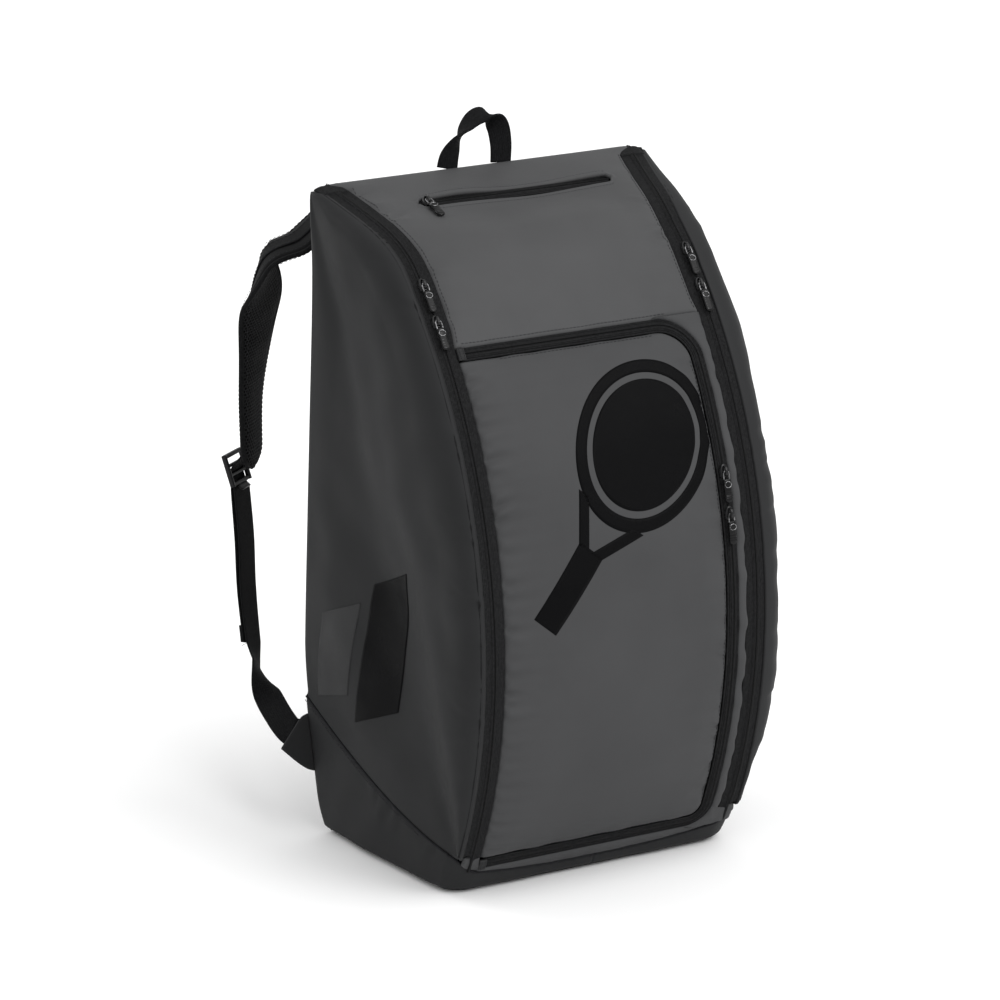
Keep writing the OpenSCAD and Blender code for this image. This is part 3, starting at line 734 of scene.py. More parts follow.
def door_inside(s, x):
    x1, s0, s1 = DOOR_ZIP_X - BAND, DOOR_S0 + BAND, DOOR_S1 - BAND
    r1, r2 = DOOR_R - BAND, DOOR_R2 - BAND
    d = np.minimum(np.minimum(x1 - x, s1 - s), s - s0)
    up = (x > x1 - r1) & (s > s1 - r1)
    d = np.where(up, r1 - np.hypot(x - x1 + r1, s - s1 + r1), d)
    low = (x > x1 - r2) & (s < s0 + r2)
    return np.where(low, r2 - np.hypot(x - x1 + r2, s - s0 - r2), d)


door_pucker_l, door_pucker_r = wave(11, 13, 40), wave(12, 15, 48)
door_pucker_t = wave(13, 22, 60)
door_crease_l = creases(15, lambda v: DOOR_L, 1, 62, 486, 15)
door_crease_r = creases(16, lambda v: float(door_right(v)), -1, 62, 470, 13, reach=(12, 30), deep=(0.6, 1.5))
door_billow = billow(14, 90, 260)


def puckered(noise, d, reach, start):
    """Puckers that begin at a seam and die away from it."""
    return noise * np.exp(-d / reach) * rise(d, start)


def door_out(s, x):
    """How far the door's face stands out of the profile."""
    u = np.clip((x - DOOR_L) / (door_right(s) - DOOR_L), 0, 1)
    v = np.clip((s - DOOR_S0 - BAND) / (DOOR_S1 - DOOR_S0 - 2 * BAND), 0, 1)
    out = 7 * (1 - (2 * u - 1) ** 2) * (1 - (2 * v - 1) ** 4)
    right, left = np.maximum(door_inside(s, x), 0), np.maximum(x - DOOR_L, 0)
    out = out + 3.2 * rise(right, 7) * rise(left, 7) - 0.6
    out = out + roll(right, 4, 1.1) + roll(left, 4, 1.3) + hemmed(right, 1.6)
    out = out + 2.2 * puckered(door_pucker_l(s), left, 12, 2.5)
    out = out + 1.5 * puckered(door_pucker_r(s), right, 13, 2.5)
    out = out + 0.5 * door_pucker_t(x) * np.exp(-right / 16)
    clear = 1 - ease(np.clip((95 - np.abs(s - 395)) / 25, 0, 1))  # no creases beside the printed mark
    out = out + door_crease_l(x, s) + clear * door_crease_r(x, s)
    return out + 0.9 * door_billow(x, s) * np.clip(np.minimum(left, right) / 25, 0, 1)


def door_rows():
    low = [DOOR_S0 + DOOR_R2 - (DOOR_R2 - BAND) * math.sin(a * RAD) for a in range(89, 0, -9)]
    high = [DOOR_S1 - DOOR_R + (DOOR_R - BAND) * math.sin(a * RAD) for a in [*range(5, 90, 6), 89.3]]
    mid = np.linspace(DOOR_S0 + DOOR_R2, DOOR_S1 - DOOR_R, 170)
    return np.concatenate([low, mid, high])


def edge_cols(n, tight=0.06):
    """Column positions from 0 to 1, closer together at both ends."""
    t = np.linspace(0, 1, n)
    return t - tight * np.sin(2 * math.pi * t) * 1.3


DOOR_BLEND = ((-0.1189, 0, 0.2), (-0.086, 0, 0.2))
ss = door_rows()
uu = edge_cols(62)
S, U = lattice(ss, uu)
X = lerp(DOOR_L + 0.1, door_right(S), U)
OUT = door_out(S, X)
wear = np.exp(-np.maximum(np.minimum(door_inside(S, X), X - DOOR_L), 0) / 2.2) * 0.8
door = skin("door_cloth", at(S, X, -OUT), at(S, X, SHEET - OUT * 0.8), "front_cloth", flat_uv(X, S), wear)
settle(door, "front_cloth", "door", "front_door", blend=DOOR_BLEND)

# ---- side profile edges and side surfaces ----
s_list = np.linspace(s_at(10), 713, 900)
z_of_s = prof(s_list)[1]


def s_of_z(z):
    return np.interp(z, z_of_s, s_list)


SIDE_Z0, SIDE_Z1 = 38.6, 582.2
BOOT_BACK_Z = 130
FLAP_SWELL, RIGHT_BULGE, SIDE_LIMIT = 13.0, 8.0, 186


def side_grid(n_rows, n_cols):
    """A grid over the side, from the zip to the back edge: its distance from the middle, y and z."""
    zs = np.concatenate([np.linspace(SIDE_Z0, BOOT_BACK_Z, 30)[:-1], np.linspace(BOOT_BACK_Z, 560, n_rows),
                         np.linspace(563, SIDE_Z1, 8)])
    t = edge_cols(n_cols, 0.05)
    s = s_of_z(zs)
    x0 = zip_at(s) + TAPE_OUT - 0.6
    front = at(s, x0, -0.5)
    yb = np.where(zs < 130.3, -116 + 211 * np.clip((zs - 38.3) / 92, 0, 1) ** (1 / 1.5), 95)
    yb = np.maximum(yb, front[:, 1] + 2.5)
    y0 = front[:, 1][:, None]
    Y = y0 + (yb[:, None] - y0) * t[None]
    Z = np.repeat(zs[:, None], len(t), 1)
    fy = np.maximum(fold_y(Z), y0 + 0.5)
    u = np.clip((Y - y0) / (fy - y0), 0, 1)
    swell = np.minimum(FLAP_SWELL, 0.13 * (fy - y0))
    flap = lerp(x0[:, None], fold_x(Z), u) + swell * np.sin(math.pi * u ** 0.6)
    X = np.where(Y < fy, flap, side_x(Y, Z))
    return smooth_line(X, 10), Y, Z


def side_fabric(side, seed):
    sg = -1 if side == "left" else 1
    X, Y, Z = side_grid(104, 66)
    d_front = Y - Y[:, :1]
    d_back = np.where(Z > BOOT_BACK_Z, BACK_Y - Y, 400)
    d_low = Z - boot_z(Y)
    d = np.minimum(np.minimum(d_front, d_back), np.maximum(d_low, 0))
    big, along = billow(seed, 110, 330), wave(seed + 1, 24, 70)
    small = billow(seed + 2, 45, 120)
    X = X + (2.6 * big(Y, Z) + 0.6 * small(Y, Z)) * np.clip(d / 40, 0, 1)
    folds = creases(seed + 5, lambda v: 0.0, 1, 90, 560, 13, reach=(18, 44), deep=(0.6, 1.6))
    X = X + folds(d_front, Z)
    if side == "right":
        bulge = RIGHT_BULGE * np.sin(math.pi * np.clip(d_front / 130, 0, 1) ** 0.42)
        X = X + bulge * ease((Z - 60) / 60) * ease((575 - Z) / 50)
    X = X + puckered(along(Z), d_front, 16, 3) * np.clip(d_low / 20, 0, 1)
    X = X + roll(d_front, 4, 1.2) + roll(d_back, 7, 2.6) + roll(d_low, 4, 1.2) + hemmed(d_front, 1.6)
    X = np.minimum(X + 1.4 * rise(d_front, 6), SIDE_LIMIT)
    outer = points(sg * X, Y, Z)
    inner = points(sg * (X - SHEET), np.minimum(Y, 94.6), Z)
    wear = np.exp(-np.maximum(d, 0) / 2.2) * 0.8
    # side_cloth holds painted shade: the front's fabric made much darker for the shaded sides
    return skin(f"side_cloth_{side}", outer, inner, "side_cloth", flat_uv(Y, Z), wear), X, Y, Z


# two points 18 mm apart across the side cloth's crease, given to settle as its blend
CREASE_N = -unit(np.array([FOLD_TOP[2] - FOLD_LOW[2], FOLD_LOW[1] - FOLD_TOP[1]]))
CREASE_MID = np.array([FOLD_LOW[1] + FOLD_TOP[1], FOLD_LOW[2] + FOLD_TOP[2]]) / 2
SIDE_BLEND = [(0, *((CREASE_MID + CREASE_N * k) * MM)) for k in (-9, 9)]
side_faces = {}
for side, seed in (("left", 31), ("right", 47)):
    obj, *side_faces[side] = side_fabric(side, seed)
    settle(obj, "side_cloth", f"flap_{side}", f"side_flap_{side}", f"side_rear_{side}", blend=SIDE_BLEND)

# ---- front gusset, below and to the right of the door ----
def boot_front_z(x):
    a = np.abs(x)
    return 14 + 9 * (np.clip(a, 0, 128) / 128) ** 2.5 + 8 * ease((a - 126) / 12)


g_pucker, g_pucker2 = wave(61, 15, 44), wave(62, 22, 70)


def gusset_left(s):
    s = np.asarray(s, float)
    lo = DOOR_ZIP_X - DOOR_R2 + np.sqrt(np.maximum(0, (DOOR_R2 + BAND) ** 2 - (s - DOOR_S0 - DOOR_R2) ** 2))
    hi = DOOR_ZIP_X - DOOR_R + np.sqrt(np.maximum(0, (DOOR_R + BAND) ** 2 - (s - DOOR_S1 + DOOR_R) ** 2))
    return np.where(s < DOOR_S0 + DOOR_R2, lo, np.where(s < DOOR_S1 - DOOR_R, DOOR_ZIP_X + BAND, hi))


ss = np.concatenate([[DOOR_S0 + DOOR_R2 - (DOOR_R2 + BAND) * math.sin(a * RAD) for a in range(89, 0, -8)],
                     np.linspace(DOOR_S0 + DOOR_R2, DOOR_S1 - DOOR_R, 130),
                     [DOOR_S1 - DOOR_R + (DOOR_R + BAND) * math.sin(a * RAD) for a in range(5, 90, 6)]])
S, U = lattice(ss, edge_cols(13, 0.03))
L_, R_ = gusset_left(S) - 0.6, np.where(S < s_at(39), 136.0, zip_at(S) - TAPE_W + 0.5)
X = lerp(L_, R_, U)
dl, dr = X - L_, R_ - X
fall = np.where((S < s_at(41)) & (X > 118.5), -1.0, 0.0)
OUT = 0.5 + 1.9 * rise(dl, 3) * rise(dr, 3) + 0.9 * g_pucker(S) * np.exp(-dr / 6) \
    + 0.8 * g_pucker2(S) + roll(dl, 2, 0.5) + roll(dr, 2, 0.5) + fall
gusset = Heap()
gusset.add(*skin_data(at(S, X, -OUT), at(S, X, SHEET), flat_uv(X, S),
                      np.exp(-np.minimum(dl, dr) / 1.5) * 0.7))
xx = np.linspace(-135.5, 136, 110)
V, X = lattice(np.linspace(0, 1, 9), xx)
s_low = s_of_z(boot_front_z(X) + 0.4)
s_top = np.where((X > 116) | (X < -119), s_at(39), DOOR_S0 - BAND + 0.7)
round_end = np.maximum(0, (DOOR_R2 + BAND - 0.7) ** 2 - (X - DOOR_ZIP_X + DOOR_R2) ** 2)
s_top = np.where((X > 88) & (X <= 116), DOOR_S0 + DOOR_R2 - np.sqrt(round_end), s_top)
s_top = np.maximum(s_top, s_low + 1)
S = lerp(s_low, s_top, V)
d = np.minimum(S - s_low, s_top - S)
fall = np.where((S > s_at(22)) & (np.abs(X) > 118.5), -1.0, 0.0)
OUT = 0.3 + 1.6 * rise(d, 3) + 0.6 * g_pucker2(X) * np.clip(d / 4, 0, 1) + roll(d, 2, 0.6) + fall
gusset.add(*skin_data(at(S, X, -OUT), at(S, X, SHEET), flat_uv(X, S), np.exp(-d / 1.5) * 0.7))
settle(gusset.done("gusset_cloth", "front_cloth"), "front_cloth", "shell", "front_gusset")

# ---- top panel with its pocket slit ----
SLIT_S, SLIT_L, SLIT_R, SLIT_H = 664.0, -86.0, 104.5, 6.0
top_billow, top_small = billow(71, 90, 240), billow(72, 38, 90)
top_pucker_l, top_pucker_r, top_pucker_f = wave(73, 18, 55), wave(74, 18, 50), wave(75, 26, 80)
top_crease_l = creases(76, lambda v: float(tape_in(v) - zip_at(v)), 1, 520, 695, 6, reach=(20, 46),
                       deep=(1.0, 2.4))
top_crease_r = creases(77, lambda v: float(zip_at(v) - tape_in(v)), -1, 530, 695, 6, reach=(18, 40),
                       deep=(1.0, 2.4))


def slit_half(x):
    right = np.sqrt(np.clip(1 - (np.maximum(x - (SLIT_R - SLIT_H), 0) / SLIT_H) ** 2, 0, 1))
    left = np.sqrt(np.clip(1 - (np.maximum((SLIT_L + SLIT_H) - x, 0) / SLIT_H) ** 2, 0, 1))
    return SLIT_H * np.minimum(right, left)


def top_out(s, x, half):
    dl, dr = x + half, half - x
    df, db = s - (DOOR_S1 + BAND - 0.6), S_D - 1 - s
    d = np.minimum(np.minimum(dl, dr), np.minimum(df, db))
    out = 0.3 + 2.2 * rise(np.minimum(np.minimum(dl, dr), df), 6)
    out = out + (1.3 * top_billow(x, s) + 0.45 * top_small(x, s)) * np.clip(d / 30, 0, 1)
    out = out + 1.2 * puckered(top_pucker_l(s), dl, 15, 3)
    out = out + 1.2 * puckered(top_pucker_r(s), dr, 17, 3)
    out = out + 0.8 * puckered(top_pucker_f(x), df, 18, 3)
    out = out + top_crease_l(x, s) + top_crease_r(x, s)
    sag = 2.6 * ridge(s - 640, 34) * np.clip(d / 30, 0, 1)
    gap = np.hypot(np.maximum(np.abs(s - SLIT_S) - slit_half(x), 0),
                   np.maximum(np.maximum(x - SLIT_R, SLIT_L - x), 0))
    welt = 0.9 * ridge(gap - 2.2, 2.0) - 0.8 * ridge(gap, 0.8) - 0.5 * ridge(gap - 5.2, 0.7)
    out = out - sag + welt + roll(dl, 3, 0.7) + roll(dr, 3, 0.7) + roll(df, 3, 0.8) + roll(db, 4, 1.2)
    return out + hemmed(np.minimum(dl, dr), 1.5)


# columns beside the slit, and along it
BESIDE, ALONG = 14, 57
base_rows = np.concatenate([np.linspace(DOOR_S1 + BAND - 0.6, 650, 60), [652, 654, 655.6, 656.8, 658],
                            [670, 671.2, 672.4, 674, 676], np.linspace(679, S_D - 1, 12)])
cols = np.concatenate([np.linspace(-1, 0, BESIDE + 1)[:-1], np.linspace(0, 1, ALONG),
                       np.linspace(1, 2, BESIDE + 1)[1:]])
mid_lines = SLIT_L + (SLIT_R - SLIT_L) * (0.5 - 0.5 * np.cos(math.pi * np.linspace(0, 1, ALONG)))
mid_lines = lerp(np.linspace(SLIT_L, SLIT_R, ALONG), mid_lines, 0.35)
S = np.repeat(base_rows[:, None], len(cols), 1)
half = zip_at(S) - tape_in(S) + 0.6
half = np.where(S > 701, np.minimum(half + (S - 701) * 1.6, 160), half)
X = np.where(cols < 0, lerp(SLIT_L, -half, -cols), np.where(cols > 1, lerp(SLIT_R, half, cols - 1), 0))
X[:, BESIDE:BESIDE + ALONG] = mid_lines[None]
near = np.clip(1 - (np.abs(S - SLIT_S) - SLIT_H) / 16, 0, 1)
shift = (SLIT_H - slit_half(X)) * np.sign(S - SLIT_S) * near * ((X > SLIT_L - 14) & (X < SLIT_R + 14))
lead = np.where(X > SLIT_R, 1 - (X - SLIT_R) / 14, np.where(X < SLIT_L, 1 - (SLIT_L - X) / 14, 1))
S = S - shift * np.clip(lead, 0, 1) * 0.985
keep = np.ones((S.shape[0] - 1, S.shape[1] - 1), bool)
slit_row = int(np.searchsorted(base_rows, SLIT_S)) - 1
keep[slit_row, BESIDE:BESIDE + ALONG - 1] = False
OUT = top_out(S, X, half)
to_edge = np.minimum(np.minimum(X + half, half - X), np.minimum(S - DOOR_S1 - 5.5, S_D - 1 - S))
wear = np.exp(-to_edge.clip(0) / 2.2) * 0.8
# top_cloth holds painted light: the front's fabric made lighter for the lit top
top = skin("top_cloth", at(S, X, -OUT), at(S, X, SHEET - OUT * 0.6), "top_cloth", flat_uv(X, S), wear, keep)
settle(top, "top_cloth", "shell", "top_panel")

# ---- zips ----
def path_out(path):
    d = directions(np.c_[path, np.zeros(len(path))])[:, :2]
    return points(d[:, 1], -d[:, 0])


TOOTH_PITCH = 1.55


def tape_half(path, sign, width, heap, teeth, bead=1.5, flip_depth=0.0):
    """Half of a reverse coil zip: flat woven tape that rolls over into a bead at the middle."""
    offs = [0.18, 0.25, 0.7, 1.3, 1.9, 2.5, 2.9, 3.3, 4.2, 0.55 * width, 0.75 * width, width - 0.4, width]
    high = [0.1, 0.75, 1.15, 1.25, 1.1, 0.75, 0.35, 0.12, 0.05, 0.05, 0.05, -0.1, -0.5]
    high = np.array(high) * bead / max(high)
    out = path_out(path)
    outer, inner, uv = [], [], []
    run = length_along(path)
    for o, h in zip(offs, high):
        o = np.broadcast_to(o, len(path))
        w = path + sign * o[:, None] * out
        outer.append(at(w[:, 1], w[:, 0], -h + flip_depth))
        inner.append(at(w[:, 1], w[:, 0], 0.85))
        uv.append(flat_uv(sign * o, run))
    outer, inner, uv = (np.stack(a, 1) for a in (outer, inner, uv))
    heap.add(*skin_data(outer, inner, uv, np.zeros(outer.shape[:2])))
    spots = spaced(np.c_[path, np.zeros(len(path))], TOOTH_PITCH)[:, :2]
    if sign < 0:
        spots = spots + directions(np.c_[spots, np.zeros(len(spots))])[:, :2] * 0.78
    for p, o in zip(spots, path_out(spots)):
        a, b = p + sign * 0.05 * o, p + sign * 1.0 * o
        ends = [at(q[1], q[0], h) for q, h in ((a, -0.62 * bead), (b, -1.02 * bead))]
        teeth.tube(np.array([ends[0], ends[0] * 0.4 + ends[1] * 0.6, ends[1]]), [0.42, 0.46, 0.3], 5)


tape_rows = np.concatenate([np.linspace(s_at(24), 500, 120)[:-1], np.linspace(500, 712, 64)])
side_path = points(zip_at(tape_rows), tape_rows)
for side, mir in (("left", -1), ("right", 1)):
    for part, sign, body in (("inner", -1, "shell"), ("outer", 1, f"flap_{side}")):
        tape, teeth = Heap((mir, 1, 1)), Heap((mir, 1, 1))
        low = tape_rows >= (s_at(24) if part == "inner" else s_at(40))
        width = tape_in(tape_rows[low]) if part == "inner" else TAPE_OUT
        tape_half(side_path[low], sign, width, tape, teeth)
        obj = tape.done(f"zip_tape_{part}_{side}", "zip_tape")
        settle(obj, "zip_tape", body, f"side_tape_{part}_{side}")
        obj = teeth.done(f"zip_teeth_{part}_{side}", "zip_coil")
        settle(obj, "zip_coil", body, f"side_coil_{part}_{side}")


def corner(s, r, angles):
    return [[DOOR_ZIP_X - r + r * math.cos(a * RAD), s + r * math.sin(a * RAD)] for a in angles]


door_path = np.array(
    [[x, DOOR_S1] for x in np.linspace(-116, DOOR_ZIP_X - DOOR_R, 64)]
    + corner(DOOR_S1 - DOOR_R, DOOR_R, np.linspace(84, 0, 15))
    + [[DOOR_ZIP_X, s] for s in np.linspace(DOOR_S1 - DOOR_R - 4, DOOR_S0 + DOOR_R2 + 4, 110)]
    + corner(DOOR_S0 + DOOR_R2, DOOR_R2, np.linspace(0, -84, 12))
    + [[x, DOOR_S0] for x in np.linspace(DOOR_ZIP_X - DOOR_R2, -116, 60)])
for part, sign, body, bend in (("body", -1, "shell", None), ("door", 1, "door", DOOR_BLEND)):
    tape, teeth = Heap(), Heap()
    tape_half(door_path, sign, 6.0, tape, teeth, 1.35)
    for heap, what in ((tape, "tape"), (teeth, "coil")):
        obj = heap.done(f"door_zip_{what}_{part}", f"zip_{what}")
        settle(obj, f"zip_{what}", body, f"door_{what}_{part}", blend=bend)

tape, teeth = Heap(), Heap()
slit_path = np.array([[x, SLIT_S] for x in np.linspace(SLIT_L + 1.4, SLIT_R - 2.0, 90)])
for sign in (-1, 1):
    tape_half(slit_path, sign, 6.3, tape, teeth, 1.1, 0.35)
for heap, what in ((tape, "tape"), (teeth, "coil")):
    obj = heap.done(f"pocket_zip_{what}", f"zip_{what}")
    settle(obj, f"zip_{what}", "shell", f"top_zip_{what}")

# grey end tabs of the door zip, folded cloth with two rows of stitches
tabs, tab_thread = Heap(), Heap()
TAB_L, TAB_R, TAB_H = -119.4, -112.6, 5.2
for s0 in (DOOR_S0, DOOR_S1):
    S, X = lattice(np.linspace(s0 - TAB_H, s0 + TAB_H, 15), np.linspace(TAB_L, TAB_R, 11))
    d = np.minimum(np.minimum(X - TAB_L, TAB_R - X), TAB_H - np.abs(S - s0))
    OUT = 1.7 + 0.9 * rise(d, 0.7) + 0.25 * np.sin(S * 1.1)
    tabs.add(*skin_data(at(S, X, -OUT), at(S, X, 0.6), flat_uv(X, S), np.exp(-d / 0.8)))
    for x in (-117.8, -114.2):
        line = at(np.linspace(s0 - 4, s0 + 4, 12), np.full(12, x), -2.75)
        stitch_row(tab_thread, line, (0, -0.9, 0.4), 2.0, 1.5, 0.22)
obj = tabs.done("door_zip_end_tabs", "tab_cloth")
settle(obj, "tab_cloth", "shell", "door_zip_tabs")
settle(tab_thread.done("end_tab_stitches", "thread"), "tab_cloth", "shell")

# ---- base boot: one wall round the bag, its floor, and the piping on its seam ----
def boot_station(kind, t, z):
    """x and y of the boot's wall at height z, at one of its plan stations."""
    z = np.asarray(z, float)
    y_front = ARC_Y - np.sqrt(ARC_R ** 2 - (z - ARC_Z) ** 2)
    if kind == "front":
        return t + 0 * z, y_front
    y0 = y_front + 16
    x0 = side_x(y0, z) + 0.6
    if kind == "corner":
        a, power = t * math.pi / 2, 1.24
        return 120 + (x0 - 120) * np.sin(a) ** power, y0 - 16 * np.cos(a) ** power
    y = y0 + (94.2 - y0) * t
    return side_x(y, z) + 0.6, y


# plan stations of the right half, from the middle of the front to the back edge
stations = [("front", x) for x in np.linspace(0, 120, 44)] \
    + [("corner", t) for t in np.linspace(0.06, 0.94, 13)] \
    + [("side", t) for t in np.concatenate([np.linspace(0, 0.1, 7), np.linspace(0.13, 1, 56)])]
boot_billow = billow(82, 40, 130)
BACK_IN, BACK_OUT = 92.2, 95.6  # inner and outermost face of the cloth on the back
cols_x, cols_y, cols_z, seam = [], [], [], []
for kind, t in stations:
    if kind == "front":
        top_z = boot_front_z(t)
    elif kind == "corner":
        top_z = lerp(boot_front_z(120), 39.2, ease(t * 1.15))
    else:
        y = boot_station(kind, t, 39.0)[1]
        for _ in range(4):
            y = boot_station(kind, t, boot_z(y))[1]
        top_z = max(39.2, float(boot_z(y)) + 0.6)
    v = np.linspace(0, 1, 30) ** 1.15
    z = 0.3 + (top_z - 0.3) * v
    x, y = boot_station(kind, t, z)
    cols_x.append(x), cols_y.append(y), cols_z.append(z), seam.append(top_z)
BX, BY, BZ = (np.stack(a, 1) for a in (cols_x, cols_y, cols_z))
NX = np.gradient(BY, axis=1)
NY = -np.gradient(BX, axis=1)
norm = np.maximum(np.hypot(NX, NY), 1e-6)
NX, NY = NX / norm, NY / norm
d_top = np.array(seam)[None] - BZ
arc = np.cumsum(np.concatenate([[0], np.hypot(np.diff(BX[-1]), np.diff(BY[-1]))]))
ARC = arc[None] + 0 * BZ
puff = 0.5 + rise(d_top, 5) + 0.5 * boot_billow(ARC, BZ) * np.clip(d_top / 10, 0, 1)
boot_folds = creases(83, lambda v: 0.0, 1, 150, 390, 9, reach=(16, 46), deep=(0.5, 1.5))
puff = puff + boot_folds(d_top, ARC) * np.clip((BZ - 6) / 12, 0, 1)
foot = 7 * np.clip(1 - BZ / 7, 0, 1) ** 2
BX2 = np.minimum(BX + NX * (puff - foot), 179)
BY2 = np.minimum(BY + NY * (puff - foot), 94.6)
outer = points(BX2, BY2, BZ)
inner = points(BX - NX * 3, np.minimum(BY - NY * 3, 92), np.maximum(BZ, 3))
boot = Heap()
wear = np.exp(-d_top / 2) * 0.6 + np.exp(-BZ / 3)
for mir in (1, -1):
    boot.add(*skin_data(outer * [mir, 1, 1], inner * [mir, 1, 1], flat_uv(ARC, BZ), wear))
base = points(BX2[0], BY2[0])
Q, _ = lattice(np.linspace(-1, 1, 41), np.arange(len(base)))
floor_top = points(base[:, 0][None] * Q, np.repeat(base[:, 1][None], 41, 0), 2.8)
floor_low = floor_top * [1, 1, 0]
boot.add(*skin_data(floor_top, floor_low, floor_top[..., :2] * MM, np.zeros(Q.shape)))
V, Q = lattice(np.linspace(0.3, BOOT_BACK_Z, 40), np.linspace(-1, 1, 61))
back_half = side_x(94.2 + 0 * V, V) - 1.6
out_y = BACK_Y + 0.24 * boot_billow(back_half * Q, V) - 2.5 * np.clip(1 - V / 6, 0, 1) ** 2
boot.add(*skin_data(points(back_half * Q, np.minimum(out_y, BACK_OUT), V),
                    points(back_half * Q * 0.985, BACK_IN, V),
                    flat_uv(back_half * Q, V), np.exp(-(BOOT_BACK_Z - V) / 2) * 0.6))
obj = boot.done("boot_cloth", "boot_cloth")
settle(obj, "boot_cloth", "shell", "base_boot")
outs = points(NX[-1], NY[-1], 0 * NX[-1])
piped = points(BX2[-1], BY2[-1], BZ[-1]) + outs * 0.2
sewn = (points(BX2[-1], BY2[-1], BZ[-1] - 4.2) + outs * 0.9)[70:]
piping, boot_thread = Heap(), Heap()
for mir in (1, -1):
    piping.tube(piped * [mir, 1, 1], 1.15, 8)
    stitch_row(boot_thread, sewn * [mir, 1, 1], outs[70:] * [mir, 1, 1], 4.2, 3.0, 0.3)
piping.tube(points(np.linspace(-174, 174, 90), 95.2, 130.2), 1.1, 8)
settle(piping.done("boot_piping", "piping"), "boot_cloth", "shell")
settle(boot_thread.done("boot_stitches", "thread"), "boot_cloth", "shell")

# ---- back panel, yoke, handle tabs ----
back_billow = billow(91, 60, 200)
BACK_LOW, BACK_HIGH = 130.6, TOP_Z - 1.6
zs = np.concatenate([np.linspace(BACK_LOW, 560, 110), np.linspace(563, BACK_HIGH, 8)])
Z, Q = lattice(zs, edge_cols(74, 0.03) * 2 - 1)
half = np.where(Z > 560, lerp(edge_x(Z) - 3.4, 152.0, ease((Z - 562) / 20)), edge_x(Z) - 3.4)
d = np.minimum(half * (1 - np.abs(Q)), np.minimum(Z - BACK_LOW, BACK_HIGH - Z))
X = half * Q
Y = 94.3 + 1.1 * rise(d, 7) + 0.5 * back_billow(X, Z) * np.clip(d / 30, 0, 1)
Y = np.minimum(Y, BACK_OUT) + roll(d, 4, 1.0)
obj = skin("back_cloth", points(X, Y, Z), points(X, BACK_IN, Z), "back_cloth", flat_uv(X, Z),
           np.exp(-d / 2) * 0.6)
settle(obj, "back_cloth", "shell", "back_panel")

YOKE_X, YOKE_LOW, YOKE_HIGH, SEWN_Y = 108, 494, 546, 95.4
Z, X = lattice(np.linspace(YOKE_LOW, YOKE_HIGH, 30), np.linspace(-YOKE_X, YOKE_X, 90))
d = np.minimum(YOKE_X - np.abs(X), np.minimum(Z - YOKE_LOW, YOKE_HIGH - Z))
Y = 95.9 + 1.2 * rise(d, 1.6) + 0.15 * back_billow(X * 2, Z * 2)
obj = skin("yoke_cloth", points(X, Y, Z), points(X, SEWN_Y, Z), "boot_cloth", flat_uv(X, Z),
           np.exp(-d / 1.2))
settle(obj, "back_cloth", "shell", "strap_yoke")
back_thread = Heap()
for z in (YOKE_LOW + 3, YOKE_HIGH - 3):
    stitch_row(back_thread, points(np.linspace(-105, 105, 80), 97.2, z), (0, 1, 0), 3.6, 2.6, 0.3)
for x in (-105, 105):
    stitch_row(back_thread, points(x, 97.2, np.linspace(498, 542, 20)), (0, 1, 0), 3.6, 2.6, 0.3)

tabs = Heap()
for x0 in (-31, 22.5):
    Z, X = lattice(np.linspace(TOP_Z - 38, TOP_Z - 0.6, 24), np.linspace(x0 - 10, x0 + 10, 14))
    d = np.minimum(10 - np.abs(X - x0), np.minimum(Z - TOP_Z + 38, 12))
    Y = 96.2 + 1.9 * rise(d, 0.8)
    tabs.add(*skin_data(points(X, Y, Z), points(X, SEWN_Y, Z), flat_uv(X, Z), np.exp(-d / 0.8)))
    lo, hi = TOP_Z - 35, TOP_Z - 10
    # a stitched box with a cross in it
    for xa, za, xb, zb in ((-7.5, lo, 7.5, lo), (-7.5, hi, 7.5, hi),
                           (-7.5, lo, -7.5, hi), (7.5, lo, 7.5, hi),
                           (-7.5, lo, 7.5, hi), (-7.5, hi, 7.5, lo)):
        line = points(x0 + np.linspace(xa, xb, 16), 98.15, np.linspace(za, zb, 16))
        stitch_row(back_thread, line, (0, 1, 0), 2.6, 1.9, 0.3)
obj = tabs.done("handle_anchor_tabs", "webbing")
settle(obj, "webbing", "shell", "handle_tabs")

# ---- grab handle: flat webbing at the ends, folded round at the grip ----
hz, hy = TOP_Z + 2, 96.9
loop = [[-31, 0, -2], [-28, 1, 8], [-20.5, 2.5, 19], [-10.5, 5, 30], [1, 7, 38.5],
        [12, 7, 40], [21, 4, 31], [23.5, 1.5, 15], [22.5, 0, -2]]
mids = curve(np.array(loop) + [0, hy, hz], 9)
n = len(mids)
f = np.linspace(0, 1, n)
turn = math.pi * ease(f)
wides = points(np.cos(turn), np.sin(turn), 0.55 * np.sin(turn))
grip = ease((0.5 - np.abs(f - 0.5) - 0.24) / 0.10)
sections = np.array([cushion_section(10 - 0.8 * g, 1.3 + 0.5 * g, 0.32 + 0.1 * g, 28) for g in grip])
handle = Heap().sweep(mids, wides, sections, 0.15)
obj = handle.done("grab_handle_loop", "webbing")
HANDLE_BLEND = ((0, hy * MM, (hz - 3) * MM), (0, hy * MM, (hz + 12) * MM))
settle(obj, "webbing", "handle", "grab_handle", blend=HANDLE_BLEND)

